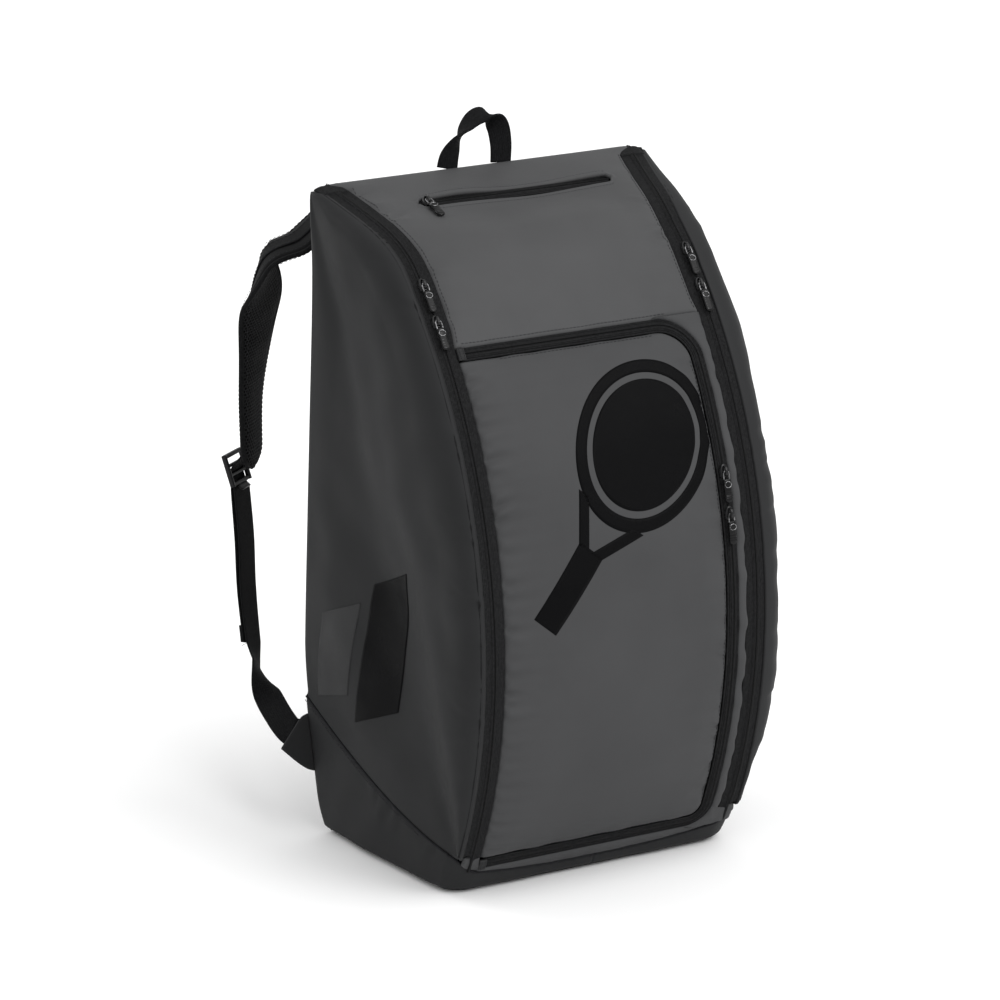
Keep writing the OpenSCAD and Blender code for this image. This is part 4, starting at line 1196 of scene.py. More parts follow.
# ---- tape cloth that closes the zip ends at the top back corners ----
for side, mir in (("left", -1), ("right", 1)):
    S, U = lattice(np.linspace(698, S_D - 0.4, 12), np.linspace(0, 1, 20))
    X = lerp(zip_at(S) - 12.0, 162.0, U)
    d = np.minimum(S_D - 0.4 - S, np.minimum(U * 28, (1 - U) * 28))
    OUT = 1.5 * rise(d, 1.6) - 3.0 * np.clip((X - 154) / 8, 0, 1) ** 2
    obj = skin(f"zip_corner_cloth_{side}", at(S, X, -OUT) * [mir, 1, 1], at(S, X, 3.4) * [mir, 1, 1],
               "zip_tape", flat_uv(X, S), np.exp(-d))
    settle(obj, "zip_tape", "shell")

# ---- back pads: cloth simulation, then seams ----
PAD_Y = 95.35  # where a pad is sewn to the back
PAD_SWELL = 6  # the most that the simulation may move a point


def pad_shape(name, x0, x1, z0, z1, t, seams, seed):
    """A foam pad in its cover: swollen by the simulation, flat where it is sewn to the back."""
    r, grow = 20.0, 3.0  # corner radius, and how much smaller the pad starts
    a = np.linspace(0, 2 * math.pi, 120, endpoint=False)
    cx, cz = (x0 + x1) / 2, (z0 + z1) / 2
    hx, hz_ = (x1 - x0) / 2 - grow, (z1 - z0) / 2 - grow
    c, s = np.cos(a), np.sin(a)
    px = np.sign(c) * (hx - r) + r * c
    pz = np.sign(s) * (hz_ - r) + r * s
    px, pz = np.where(np.abs(c) < 1e-9, 0, px), np.where(np.abs(s) < 1e-9, 0, pz)
    levels = [0.2, 1.6, t * 0.45, t * 0.72, t * 0.86]
    insets = [0.0, -0.4, 0.0, 1.6, 4.6]
    k = np.hypot(px, pz)
    pts = np.concatenate([points(cx + px * (1 - i / k), PAD_Y + y, cz + pz * (1 - i / k))
                          for y, i in zip(levels, insets)])
    obj = build(name, pts, ring_faces(len(levels), len(a)), "mesh_cloth")
    bpy.context.view_layer.objects.active = obj
    remesh = obj.modifiers.new("remesh", "REMESH")
    remesh.mode, remesh.voxel_size = "VOXEL", 0.0045
    apply_all(obj)
    rest = coords(obj)
    cloth = obj.modifiers.new("cloth", "CLOTH")
    st = cloth.settings
    st.quality, st.mass = 5, 0.3
    st.tension_stiffness = st.compression_stiffness = 12
    st.bending_stiffness = 0.6
    st.use_pressure, st.uniform_pressure_force = True, 4.0
    st.effector_weights.gravity = 0
    cloth.point_cache.frame_start, cloth.point_cache.frame_end = 1, 20
    for frame_no in range(1, 21):
        bpy.context.scene.frame_set(frame_no)
    apply_all(obj)
    co = coords(obj)
    move = co - rest
    far = np.maximum(np.linalg.norm(move, axis=1, keepdims=True), 1e-9)
    co = rest + move * np.minimum(1, PAD_SWELL / far)
    bpy.context.scene.frame_set(1)
    flat = np.clip((rest[:, 1:2] - 95.5) / 2.0, 0, 1)
    co = rest + (co - rest) * flat
    co = np.clip(co, [x0 - 1.5, PAD_Y, z0 - 1.5], [x1 + 1.5, PAD_Y + t + 5, z1 + 1.5])
    put_coords(obj, co)
    sub = obj.modifiers.new("sub", "SUBSURF")
    sub.levels = sub.render_levels = 1
    apply_all(obj)
    co = coords(obj)
    up = np.clip((co[:, 1] - 96.5) / 3, 0, 1)
    depth = np.zeros(len(co))
    for z, amp in seams:
        depth = np.maximum(depth, amp * ridge(co[:, 2] - z, 3.2))
    rim = np.minimum(np.minimum(co[:, 0] - x0, x1 - co[:, 0]), np.minimum(co[:, 2] - z0, z1 - co[:, 2]))
    depth = np.maximum(depth, 2.2 * ridge(rim - 11, 2.2))
    co[:, 1] -= depth * up
    co[:, 1] += 0.25 * billow(seed, 30, 90)(co[:, 0], co[:, 2]) * up
    put_coords(obj, co)
    finish_uv(obj)
    return obj


def apply_all(obj):
    """Applies the modifiers."""
    bpy.context.view_layer.update()
    deps = bpy.context.evaluated_depsgraph_get()
    mesh = bpy.data.meshes.new_from_object(obj.evaluated_get(deps), preserve_all_data_layers=True,
                                           depsgraph=deps)
    obj.modifiers.clear()
    obj.data = mesh


def coords(obj):
    co = np.zeros(len(obj.data.vertices) * 3)
    obj.data.vertices.foreach_get("co", co)
    return co.reshape(-1, 3) / MM


def put_coords(obj, co):
    obj.data.vertices.foreach_set("co", (co * MM).ravel())
    obj.data.update()


def finish_uv(obj):
    """Planar UVs in metres, a wear value of none, and smooth faces, for a mesh that a simulation made."""
    mesh = obj.data
    put_uv(mesh, coords(obj)[:, [0, 2]] * MM)
    if mesh.attributes.get("edge") is None:
        mesh.attributes.new("edge", "FLOAT", "POINT")
    mesh.polygons.foreach_set("use_smooth", [True] * len(mesh.polygons))


pad_seams = [(284, 2.4), (333, 2.4), (382, 2.4), (431, 2.4)]
for node, *pad in (("back_pads", "back_pad_left", -118, -14, 235, 480, 9, pad_seams, 101),
                   ("back_pads", "back_pad_right", 14, 118, 235, 480, 9, pad_seams, 102),
                   ("lumbar_pad", "lumbar_pad_cover", -122, 122, 138, 222, 12, [(180, 2.6)], 103)):
    obj = pad_shape(*pad)
    settle(obj, "mesh_cloth", "shell", node)
settle(back_thread.done("back_stitches", "thread_grey"), "back_cloth", "shell")

# ---- shoulder straps ----
ROOT_Y = 97.5
STRAP = [[-62, ROOT_Y + 5.2, 500], [-63, ROOT_Y + 5.8, 530], [-66, 110, 549], [-76, 126, 557],
         [-92, 142, 556], [-118, 150, 546], [-143, 158, 523], [-168, 170, 508], [-168, 184, 470],
         [-167.5, 197, 428], [-169, 206, 371], [-168, 207, 310]]
STRAP_TURN = [0, 0, 4, 28, 55, 75, 80, 70, 26, 34, 42, 40]
path = curve(STRAP, 14)
n = len(path)
g = np.arange(n) / 14.0  # counts the points of STRAP
twist = np.interp(g, range(12), STRAP_TURN)
for _ in range(30):
    twist[1:-1] = 0.25 * twist[:-2] + 0.5 * twist[1:-1] + 0.25 * twist[2:]
wide = points(np.cos(twist * RAD), np.sin(twist * RAD), 0 * g)
run = length_along(path)
left = run[-1] - run
half_w = np.interp(g, [0, 3.0, 4.0, 6.0, 7.5, 9.0, 11.0], [30, 29, 27, 30, 31, 27, 18.5])
tip = np.sqrt(np.clip(1 - (np.maximum(18 - left, 0) / 18) ** 2, 0.0, 1))
half_w = half_w * np.maximum(tip, 0.12)
half_t = np.interp(g, [0, 2, 5, 11], [3.6, 4.0, 4.8, 5.0]) * (0.45 + 0.55 * np.clip(left / 14, 0, 1) ** 0.5)


def strap_sections():
    """Foam between bound edges: full in the middle, thin at the seam."""
    a = np.linspace(-1, 1, 17)
    full = 0.34 + 0.66 * (1 - np.abs(a) ** 3.2)
    top_ = points(a, full)
    low_ = points(a[::-1][1:-1], -full[::-1][1:-1])
    ring = np.concatenate([top_, low_])
    return ring[None] * points(half_w - 1.2, half_t)[:, None]


d_ = directions(path)
W = unit(wide - (wide * d_).sum(1, keepdims=True) * d_)
F = unit(np.cross(d_, W))
STRAP_BLEND = ((-0.068, 0.112, 0.552), (-0.094, 0.140, 0.556))
strap_wave = wave(111, 26, 70)


def strap_pieces(side):
    mir = 1 if side == "left" else -1
    k = np.array([mir, 1, 1])
    blend = [(p[0] * mir, p[1], p[2]) for p in STRAP_BLEND]
    sec = strap_sections()
    sec[..., 1] += (0.25 * strap_wave(run))[:, None] * np.sign(sec[..., 1])
    obj = Heap(k).sweep(path, wide, sec).done(f"strap_pad_cover_{side}", "strap_cloth")
    obj.data.materials.append(M["strap_mesh"])
    # the lining is the half of the section that faces the bag
    m = sec.shape[1]
    outward = F[n // 2, 1]
    for p in obj.data.polygons:
        if p.index < (n - 1) * m and (p.index % m < 16) == (outward < 0):
            p.material_index = 1
    settle(obj, "strap_cloth", f"strap_{side}", f"strap_root_{side}", f"strap_pad_{side}", blend=blend)

    a = np.linspace(0, 2 * math.pi, 12, endpoint=False)
    bind = Heap(k)
    cord = points(2.6 * np.cos(a), 2.3 * np.sin(a))
    cord = np.repeat(cord[None], n, 0) * (1 - 0.25 * np.exp(-left / 6))[:, None, None]
    for sgn in (-1, 1):
        bind.sweep(path + W * (sgn * (half_w - 1.0))[:, None], W, cord, 0.2)
    loop = [path[-1] + W[-1] * (t * half_w[-1]) for t in np.linspace(-1, 1, 9)]
    bind.sweep(loop, np.repeat(F[-1:], 9, 0), points(2.2 * np.cos(a), 2.2 * np.sin(a)), 0.2)
    settle(bind.done(f"strap_binding_{side}", "webbing"), "strap_cloth", f"strap_{side}", blend=blend)

    outer_sign = 1 if outward > 0 else -1
    sel = (g > 3.0) & (left > 3)
    line = path[sel] + F[sel] * (outer_sign * (half_t[sel] + 0.7))[:, None]
    strip = Heap(k).sweep(line, W[sel], cushion_section(11.5, 0.8, 0.3, 20))
    settle(strip.done(f"strap_webbing_{side}", "webbing"), "webbing", f"strap_{side}", blend=blend)

    thread = Heap()
    for off in (-9.6, 9.6):
        sewn = line + W[sel] * off + F[sel] * outer_sign * 0.8
        stitch_row(thread, sewn * k, F[sel] * outer_sign * k, 4.0, 2.8, 0.3)
    sel = left > 8
    for off, way in ((-1, -outer_sign), (1, -outer_sign), (-1, outer_sign), (1, outer_sign)):
        sewn = path + W * (off * (half_w - 5.0))[:, None] + F * (way * (half_t * 0.80 + 0.1))[:, None]
        stitch_row(thread, sewn[sel] * k, (F * way)[sel] * k, 4.2, 2.8, 0.26)
    settle(thread.done(f"strap_stitches_{side}", "thread"), "strap_cloth", f"strap_{side}", blend=blend)


for side in ("left", "right"):
    strap_pieces(side)

# ---- ladder locks, webbing and anchor wings ----
def rot(axis, deg):
    return np.array(Matrix.Rotation(math.radians(deg), 3, axis))


def direction_of(go, axis, n=1):
    """Where the map go turns a direction, n times over."""
    return (go([axis]) - go([(0, 0, 0)])).repeat(n, 0)


LOCK_C = np.array([-176, 223, 306.0])
LOCK_R = rot("Z", 35) @ rot("X", -18)
TAIL_WIDE = [0.86, 0.51, 0]
for side in ("left", "right"):
    k = np.array([1 if side == "left" else -1, 1, 1])

    def place(p):
        return (np.asarray(p) @ LOCK_R.T + LOCK_C) * k

    lock = Heap()
    for sx in (-15.2, 15.2):
        rail = [(sx, -0.6, z) for z in np.linspace(-14.6, 14.6, 12)]
        lock.sweep(place(rail), direction_of(place, (1, 0, 0), 12), cushion_section(2.0, 2.3, 0.6, 16), 0.4)
    for z, thick in ((-12.9, 1.9), (-4.2, 1.5), (4.0, 1.5), (12.9, 2.0)):
        bar = [(x, 0.3 * math.cos(x / 11), z) for x in np.linspace(-15, 15, 16)]
        lock.sweep(place(bar), direction_of(place, (0, 0, 1), 16),
                   cushion_section(thick, 2.0 if abs(z) < 10 else 2.4, 0.6, 16), 0.3)
    tab = [(0, -1.0, -14.5), (0, -2.6, -17.5), (0, -4.4, -19.5)]
    lock.sweep(place(tab), direction_of(place, (1, 0, 0), 3), cushion_section(8, 0.9, 0.4, 16), 0.3)
    obj = lock.done(f"ladder_lock_frame_{side}", "buckle_plastic")
    settle(obj, "buckle_plastic", f"strap_{side}", f"ladder_lock_{side}")

    low = curve([[-172, 221, 289], [-170.6, 216, 242], [-173.5, 208, 195], [-177.4, 192, 153],
                 [-181.8, 178, 136.5], [-186.5, 152, 119.7], [-189.3, 122, 106.5], [-188, 104.4, 97.8],
                 [-184.5, 100.3, 96.0], [-175.5, 99.6, 93.4]], 12)
    f = np.linspace(0, 1, len(low))
    turns = np.array([TAIL_WIDE, TAIL_WIDE, TAIL_WIDE, [0.8, 0.6, 0],
                      [0.5, 0.87, 0], [0.52, 0.7, 0.42], [0.6, 0.3, 0.7], [0.62, 0, 0.78],
                      [0.45, 0, 0.9], [0.27, 0, 0.96]])
    ww = np.stack([np.interp(f * 9, range(10), turns[:, q]) for q in range(3)], -1)
    pinch = 1 - 0.16 * ridge(f - 0.467, 0.08)
    sec = np.array([cushion_section(12.5 * q, 0.85, 0.28, 26) for q in pinch])
    web = Heap(k).sweep(low, ww, sec)
    sway = np.sin(f[:38] * 14)
    tail = low[:38] + np.array([-1.5, 2.6, 0]) + points(-0.5 * sway, 0.9 * sway, 0 * sway)
    web.sweep(tail, np.repeat([TAIL_WIDE], 38, 0), cushion_section(12.5, 0.85, 0.28, 26))
    hem = tail[32:38] + np.array([-0.9, 1.5, 0])
    web.sweep(hem, np.repeat([TAIL_WIDE], 6, 0), cushion_section(12.5, 1.3, 0.3, 26), 0.3)
    lead = curve([[-166, 209, 326], [-170, 216, 318], [-175.5, 222.6, 306], [-175, 223, 297],
                  [-172, 221, 289]], 6)
    web.sweep(lead, np.repeat([[0.82, 0.57, 0]], len(lead), 0), cushion_section(12.3, 0.85, 0.28, 26))
    obj = web.done(f"adjuster_webbing_{side}", "webbing")
    sewn_end = ((-k[0] * 0.186, 0.101, 0.096), (-k[0] * 0.189, 0.128, 0.109))
    settle(obj, "webbing", f"strap_{side}", f"webbing_{side}", blend=sewn_end)
    thread = Heap()
    for j in (33, 37):
        p0 = tail[j] + np.array([-1.8, 2.9, 0])
        line = [p0 + unit(TAIL_WIDE) * q for q in np.linspace(-10, 10, 12)]
        stitch_row(thread, np.array(line) * k, np.array([-0.57, 0.82, 0]) * k, 2.6, 1.9, 0.3)
    settle(thread.done(f"webbing_stitches_{side}", "thread_grey"), "webbing", f"strap_{side}")

    corners = np.array([[-150, 118], [-176, 112], [-181, 109], [-200, 84], [-174, 61], [-150, 56]], float)
    top_e, low_e = curve(corners[[0, 1, 2]], 14), curve(corners[[5, 4, 3]], 14)
    V = np.linspace(0, 1, 20)[:, None, None]
    G = low_e[None] * (1 - V) + top_e[None] * V
    d = np.minimum(V[..., 0], 1 - V[..., 0]) * np.linalg.norm(top_e - low_e, axis=1)[None]
    tip_d = np.abs((G[..., 0] + 190.5) * 0.77 - (G[..., 1] - 96.5) * 0.64) + 0.2
    dd = np.minimum(d, tip_d * 0.5 + 0.5)
    puff = 1.0 + 1.9 * rise(dd, 1.6) - 0.5 * ridge(dd - 4, 0.8)
    outer = points(G[..., 0], 95.5 + puff, G[..., 1]) * k
    inner = points(G[..., 0], PAD_Y, G[..., 1]) * k
    obj = skin(f"anchor_wing_cloth_{side}", outer, inner, "boot_cloth", G * MM, np.exp(-dd / 1.0))
    settle(obj, "boot_cloth", "shell", f"anchor_wing_{side}")
    wing_thread = Heap()
    for edge_ in (top_e, low_e):
        c = np.array([-172, 94.0])
        line = c + (edge_ - c) * 0.84
        stitch_row(wing_thread, points(line[:, 0], 98.3, line[:, 1]) * k, (0, 1, 0), 3.2, 2.3, 0.3)
    settle(wing_thread.done(f"anchor_stitches_{side}", "thread"), "boot_cloth", "shell")


# ---- sliders and pullers ----
LIFT = COIL_T + 0.35
PIN_H = LIFT + 3.4


def on_face(s, x, h):
    origin = at(s, x, -h)
    a = (90 - float(lean(s))) * RAD
    r = np.array([[1, 0, 0], [0, math.cos(a), -math.sin(a)], [0, math.sin(a), math.cos(a)]])
    return lambda p: np.asarray(p, float) @ r.T + origin


def slider(name, s, x):
    go = on_face(s, x, 0)
    h = Heap()
    outline = [(-3.3, -5.4), (3.3, -5.4), (3.9, -2.0), (3.8, 1.6), (2.4, 5.2), (0.8, 6.6), (-0.8, 6.6),
               (-2.4, 5.2), (-3.8, 1.6), (-3.9, -2.0)]
    ring = curve(outline + outline[:1], 4)[:-1]
    levels = [(-0.15, 0.88), (0, 0.97), (0.5, 1.0), (1.1, 0.98), (1.45, 0.9), (1.6, 0.72)]
    pts = [(px * q, py * q, LIFT + z) for z, q in levels for px, py in ring]
    h.add(go(pts), ring_faces(len(levels), len(ring)), np.array(pts)[:, :2] * MM, 0.35)
    for sx in (-3.75, 3.75):
        line = [(sx * q, y, LIFT - 0.5) for y, q in ((-5.2, 0.86), (-3, 0.98), (0, 1.0), (2.6, 0.9))]
        h.sweep(go(line), direction_of(go, (1, 0, 0), 4), cushion_section(0.45, 0.9, 0.6, 12), 0.6)
    arch = [(-3.9, 1.2), (-3.7, 3.4), (-2.4, 4.9), (0, 5.3), (2.6, 4.8), (4.0, 3.3), (4.4, 1.2)]
    arch = curve([(0, y, LIFT + z) for y, z in arch], 4)
    h.sweep(go(arch), direction_of(go, (1, 0, 0), len(arch)), cushion_section(1.25, 0.55, 0.6, 14), 0.5)
    settle(h.done(f"zip_{name}", "slider_metal"), "slider_metal", name, name)


def puller(name, s, x, tilt):
    face = on_face(s, x, PIN_H)
    r = rot("X", tilt)

    def go(p):
        return face(np.asarray(p, float) @ r.T)

    metal, gloss = Heap(), Heap()
    half = [(-2.4, -8.6, 0), (-2.7, -6.0, 0), (-2.7, -2.2, 0), (-2.2, -0.7, 0), (-1.2, 0.1, 0)]
    loop = half + [(0, 0.35, 0)] + [(-x_, y_, 0) for x_, y_, _ in half[::-1]]
    metal.tube(go(curve(loop, 5)), 0.72, 10, 0.9, hint=direction_of(go, (0, 0, 1))[0])
    ys = np.array([-6.6, -7.2, -8.4, -10.5, -13, -16, -19, -21.5, -23.6, -25.2, -26.3, -26.9])
    hw = np.array([2.0, 3.1, 3.7, 3.9, 3.7, 3.45, 3.4, 3.6, 3.75, 3.5, 2.6, 1.2])
    ht = np.array([0.8, 1.3, 1.6, 1.7, 1.5, 1.35, 1.35, 1.5, 1.6, 1.5, 1.2, 0.7])
    fine = np.linspace(0, len(ys) - 1, 45)
    ys, hw, ht = (np.interp(fine, np.arange(len(ys)), v) for v in (ys, hw, ht))
    ribs = 1 - 0.16 * (np.sin(ys * 2 * math.pi / 2.1) > 0.2) * ((ys < -17) & (ys > -24))
    sec = np.array([cushion_section(a, b * q, 0.62, 24) for a, b, q in zip(hw, ht, ribs)])
    gloss.sweep(go(points(0 * ys, ys, 0 * ys)), direction_of(go, (1, 0, 0), len(ys)), sec, 0.15)
    rim = [(3.0 * math.cos(a), -11.6 + 2.6 * math.sin(a), 1.62) for a in np.linspace(0, 2 * math.pi, 25)]
    metal.tube(go(rim), 0.42, 8, 1.0, hint=direction_of(go, (0, 0, 1))[0])
    settle(gloss.done(f"{name}_grip", "puller_gloss"), "puller_gloss", name, name)
    settle(metal.done(f"{name}_ring", "puller_ring"), "slider_metal", name)


DOOR_UP = s_at(353)
SIDE_ZIP_X = 129.5
for name, s, x, tilt in (("left_upper", 566, -SIDE_ZIP_X, 4), ("left_lower", 531, -SIDE_ZIP_X, 4),
                         ("right_upper", 566, SIDE_ZIP_X, 4), ("right_lower", 531, SIDE_ZIP_X, 4),
                         ("door_upper", DOOR_UP, DOOR_ZIP_X, 4), ("door_lower", DOOR_UP - 36, DOOR_ZIP_X, 4),
                         ("top", SLIT_S, -78, 2)):
    slider(f"slider_{name}", s, x)
    puller(f"puller_{name}", s, x, tilt)

# ---- printed marks: a racket outline on the door, two plain panels on the left side ----
def on_door(p, out):
    x, s = np.asarray(p, float).T
    return at(s, x, -(door_out(s, x) + out))


def print_patch(heap, grid, lift=0.16, wrap=False):
    """A thin printed film over the door; grid holds [x, s]."""
    flat = grid.reshape(-1, 2)
    outer = on_door(flat, lift).reshape(*grid.shape[:2], 3)
    inner = on_door(flat, -0.3).reshape(*grid.shape[:2], 3)
    heap.add(*skin_data(outer, inner, grid * MM, np.zeros(grid.shape[:2]), wrap=wrap))


MARK_C, MARK_TILT, MARK_SIZE = np.array([2.0, s_at(352.0)]), 40 * RAD, 1.22


def turn_mark(p):
    c, s = math.cos(MARK_TILT), math.sin(MARK_TILT)
    return (np.asarray(p) - [0, -8.0]) * MARK_SIZE @ np.array([[c, -s], [s, c]]) + MARK_C


def racket_head(x, y):
    """The head's outline on the unit circle: an oval, longer towards the throat."""
    return points(HEAD_W * x, HEAD_Y + HEAD_H * y * np.where(y < 0, 1.05, 1))


mark = Heap()
HEAD_W, HEAD_H, HEAD_Y = 52, 62, 30
a = np.linspace(0, 2 * math.pi, 121)
head = racket_head(np.cos(a), np.sin(a))
centre = np.array([0, HEAD_Y])
rows = np.linspace(1.0, 0.84, 5)
print_patch(mark, turn_mark(centre + (head - centre)[:, None] * rows[None, :, None]), wrap=True)
p, q = lattice(np.linspace(-1, 1, 37), np.linspace(-1, 1, 37))
disc_x, disc_y = p * np.sqrt(1 - q * q / 2), q * np.sqrt(1 - p * p / 2)
print_patch(mark, turn_mark(racket_head(0.76 * disc_x, 0.76 * disc_y)))
for sg in (-1, 1):
    f = np.linspace(0, 1, 24)[:, None, None]
    w = np.linspace(-1, 1, 5)[None, :, None]
    start, stop = np.array([sg * 25.0, -26.0]), np.array([sg * 5.5, -58.0])
    print_patch(mark, turn_mark(start + (stop - start) * f + w * np.array([4.6, 0])))
f, w = np.linspace(0, 1, 36)[:, None], np.linspace(-1, 1, 9)[None]
print_patch(mark, turn_mark(points(w * 10.5 + 0 * f, -56 - 62 * f + 0 * w)))
settle(mark.done("door_racket_mark", "print_gloss"), "front_cloth", "door")

SX, SY, SZ = side_faces["left"]
near = kdtree.KDTree(SX.size)
for i, (y, z) in enumerate(zip(SY.ravel(), SZ.ravel())):
    near.insert((y, z, 0), i)
near.balance()


def lerp2(a, b, t):
    return a * (1 - t) + b * t


def side_at(p):
    """Distance of the left face from the middle at points [y, z], from its nearest grid points."""
    out = []
    for y, z in p:
        found = near.find_n((y, z, 0), 4)
        ws = np.array([1 / (f_[2] + 1e-3) ** 2 for f_ in found])
        out.append(float((SX.ravel()[[f_[1] for f_ in found]] * ws).sum() / ws.sum()))
    return np.array(out)


for what, corners in (("gloss", ((-54, 280), (0, 256), (16, 128), (-36, 150))),
                      ("grey", ((14, 236), (62, 216), (74, 136), (26, 150)))):
    p = np.array(corners, float)
    u, v = lattice(np.linspace(0, 1, 64), np.linspace(0, 1, 30))
    U, V = u[..., None], v[..., None]
    grid = lerp2(lerp2(p[0], p[1], V), lerp2(p[3], p[2], V), U)
    x = side_at(grid.reshape(-1, 2)).reshape(u.shape)
    x = smooth_line(smooth_line(x, 2).T, 2).T
    outer = points(-(x + 0.55), grid[..., 0], grid[..., 1])
    inner = points(-(x - 0.6), grid[..., 0], grid[..., 1])
    panel = Heap().add(*skin_data(outer, inner, grid * MM, np.zeros(u.shape)))
    settle(panel.done(f"side_bars_{what}", f"print_{what}"), "side_cloth", "flap_left", blend=SIDE_BLEND)

# ---- seam stitching beside the zips ----
thread = Heap()
for sg in (-1, 1):
    s = np.linspace(DOOR_S1 + 12, 698, 120)
    x = sg * (zip_at(s) - tape_in(s) - 2.2)
    half = zip_at(s) - tape_in(s) + 0.6
    front_stitches(thread, s, x, top_out(s, x, half))
x = np.linspace(-112, 84, 90)
half = np.full(90, zip_at(DOOR_S1 + 9) - tape_in(DOOR_S1 + 9) + 0.6)
s = np.full(90, DOOR_S1 + BAND + 2.6)
front_stitches(thread, s, x, top_out(s, x, half))
for ds in (-1, 1):
    x = np.linspace(SLIT_L + 6, SLIT_R - 3, 80)
    s = SLIT_S + ds * (slit_half(x) + 4.6)
    front_stitches(thread, s, x, top_out(s, x, zip_at(s) - 9.4), 3.2, 2.2, 0.22)
settle(thread.done("top_stitches", "thread"), "top_cloth", "shell")

thread = Heap()
s = np.linspace(DOOR_S0 + 24, DOOR_S1 - 36, 190)
x = np.full(190, DOOR_ZIP_X - BAND - 2.4)
front_stitches(thread, s, x, door_out(s, x))
for s0 in (DOOR_S1 - BAND - 2.4, DOOR_S0 + BAND + 2.4):
    x = np.linspace(-80, 66, 90)
    s = np.full(90, s0)
    front_stitches(thread, s, x, door_out(s, x))
settle(thread.done("door_stitches", "thread"), "front_cloth", "door")

# ---- inside: padded dividers, the door's mesh pocket and the pouch under the top zip ----
front_s = np.linspace(s_at(7) + 6, S_D - 20, 60)
front_line = at(front_s, np.full(60, 118.0), 9.0)
DIV_TOP, DIV_BACK = front_line[-1, 2], BACK_Y - 11.2
Z, U = lattice(np.linspace(7, DIV_TOP, 120), np.linspace(0, 1, 48))
div_front = np.interp(Z, front_line[:, 2], front_line[:, 1])
Y = lerp(div_front, DIV_BACK, U)
d = np.minimum(np.minimum(Y - div_front, DIV_BACK - Y), np.minimum(Z - 7, DIV_TOP - Z)).clip(0)
quilt = np.minimum(Z % 92, 92 - Z % 92)
pad = (0.3 + 2.1 * rise(np.minimum(d, quilt), 5)) * rise(d, 1.5)
for side, mir in (("left", -1), ("right", 1)):
    obj = skin(f"padded_divider_{side}", points(102.6 + pad, Y, Z) * [mir, 1, 1],
               points(101.4 - pad, Y, Z) * [mir, 1, 1], "lining_cloth", flat_uv(Y, Z),
               np.exp(-d / 2))
    settle(obj, "lining_cloth", "shell", f"divider_{side}")

POCKET_LOW, POCKET_HIGH, POCKET_L, POCKET_R = 70, 290, -104, 88
S, X = lattice(np.linspace(POCKET_LOW, POCKET_HIGH, 70), np.linspace(POCKET_L, POCKET_R, 60))
d = np.minimum(np.minimum(X - POCKET_L, POCKET_R - X), S - POCKET_LOW)
slack = 3.4 + 4.5 * rise(d, 26) * (0.5 + 0.5 * ease((S - POCKET_LOW) / (POCKET_HIGH - POCKET_LOW)))
obj = skin("door_mesh_pocket", at(S, X, slack), at(S, X, slack + 1.0), "mesh_cloth", flat_uv(X, S),
           np.exp(-d / 2))
settle(obj, "lining_cloth", "door", "door_pocket", blend=DOOR_BLEND)
S, X, slack, d = (a[-4:] for a in (S, X, slack, d))
obj = skin("door_pocket_hem", at(S, X, slack - 0.5), at(S, X, slack + 1.7), "webbing", flat_uv(X, S),
           np.exp(-d / 2))
settle(obj, "lining_cloth", "door", blend=DOOR_BLEND)

mouth = at(np.array([602.0, 690.0]), np.array([110.0, 110.0]), 4.2)
POUCH_Z, POUCH_R, POUCH_X0, POUCH_X1 = 506.5, 22, -93.0, 97.0
side_wall = np.linspace(0, 1, 22)
low_arc = np.linspace(0, math.pi, 17)[1:-1]
wall_f = points(mouth[0, 1], lerp(mouth[0, 2], POUCH_Z + POUCH_R, side_wall))
wall_b = points(mouth[1, 1], lerp(mouth[1, 2], POUCH_Z + POUCH_R, side_wall))[::-1]
mid_y, half_y = (mouth[0, 1] + mouth[1, 1]) / 2, (mouth[1, 1] - mouth[0, 1]) / 2
floor_arc = points(mid_y - half_y * np.cos(low_arc), POUCH_Z + POUCH_R - POUCH_R * np.sin(low_arc))
loop = np.concatenate([wall_f, floor_arc, wall_b])
Q, X = lattice(np.arange(len(loop)), np.linspace(POUCH_X0, POUCH_X1, 56))
u = (2 * X - POUCH_X0 - POUCH_X1) / (POUCH_X1 - POUCH_X0)
narrow = np.sqrt(np.clip(1 - np.abs(u) ** 8, 0.004, 1))
Y, Z = loop[:, 0][Q], loop[:, 1][Q]
sag = 1.6 * billow(95, 50, 120)(X, Z) * (1 - np.abs(u) ** 4) * np.clip((560 - Z) / 30, 0, 1)
Y = mid_y + (Y - mid_y) * (narrow - 0.04) + sag
under_top = at(np.linspace(560, S_D, 80), np.full(80, 116.0), 5.2)
Z = np.minimum(Z, np.interp(Y, under_top[:, 1], under_top[:, 2]))
grid = points(X, Y, Z)
away = points(0 * X, Y - mid_y, np.minimum(Z - POUCH_Z - POUCH_R, 0))
away = away / np.maximum(np.linalg.norm(away, axis=-1, keepdims=True), 1e-6)
obj = skin("top_pouch_cloth", grid, grid - away * 0.8, "lining_cloth", flat_uv(X, Q * 4.0),
           np.zeros(X.shape))
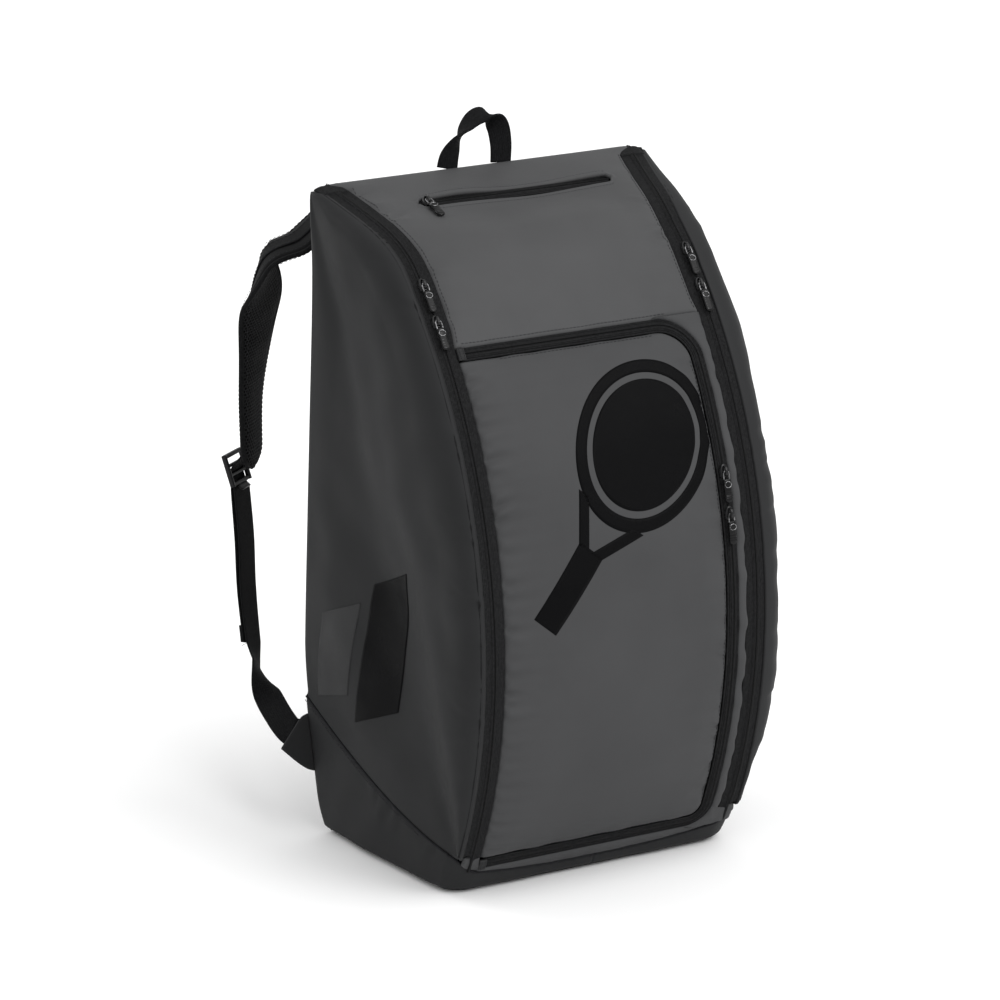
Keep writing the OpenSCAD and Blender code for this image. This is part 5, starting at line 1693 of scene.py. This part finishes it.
settle(obj, "lining_cloth", "shell", "top_pocket_pouch")

# ---- the two boards inside keep their CAD shape and get their own finish ----
for name, node in frame["nodes"].items():
    if node.hide_render:
        continue
    for slot in node.material_slots:
        slot.material = M["board"]
    if not node.material_slots:
        node.data.materials.append(M["board"])

# ---- floor and light ----
def disc(name, radius, z, mat):
    bm = bmesh.new()
    bmesh.ops.create_circle(bm, cap_ends=True, segments=96, radius=radius)
    mesh = bpy.data.meshes.new(name)
    bm.to_mesh(mesh)
    bm.free()
    obj = bpy.data.objects.new(name, mesh)
    obj.location.z = z
    mesh.materials.append(mat)
    bpy.context.scene.collection.objects.link(obj)
    return obj


floor_mat = bpy.data.materials.new("studio_floor")
floor_mat.use_nodes = True
fb = floor_mat.node_tree.nodes["Principled BSDF"].inputs
fb["Base Color"].default_value = (0.96, 0.96, 0.96, 1)
fb["Roughness"].default_value = 0.9
fb["Specular IOR Level"].default_value = 0.1
disc("studio_floor", 12, -0.0006, floor_mat)

world = bpy.data.worlds.new("studio")
bpy.context.scene.world = world
world.use_nodes = True
world.node_tree.nodes["Background"].inputs[0].default_value = (1, 1, 1, 1)
world.node_tree.nodes["Background"].inputs[1].default_value = 0.8


def area(name, place_, aim, size, power):
    data = bpy.data.lights.new(name, "AREA")
    data.shape, data.size, data.size_y = "RECTANGLE", size[0], size[1]
    data.energy = power
    obj = bpy.data.objects.new(name, data)
    obj.location = place_
    obj.rotation_euler = (Vector(place_) - Vector(aim)).to_track_quat("Z", "Y").to_euler()
    bpy.context.scene.collection.objects.link(obj)


sun_data = bpy.data.lights.new("soft_sun", "SUN")
sun_data.energy, sun_data.angle = 1.6, 60 * RAD
sun = bpy.data.objects.new("soft_sun", sun_data)
sun.rotation_euler = Vector((0.30, -0.52, 0.80)).to_track_quat("Z", "Y").to_euler()
bpy.context.scene.collection.objects.link(sun)
area("key", (0.9, -2.4, 2.2), (0, 0, 0.3), (1.0, 0.8), 14)
area("rim_back", (-1.2, 2.2, 1.6), (0, 0, 0.4), (1.4, 1.2), 16)
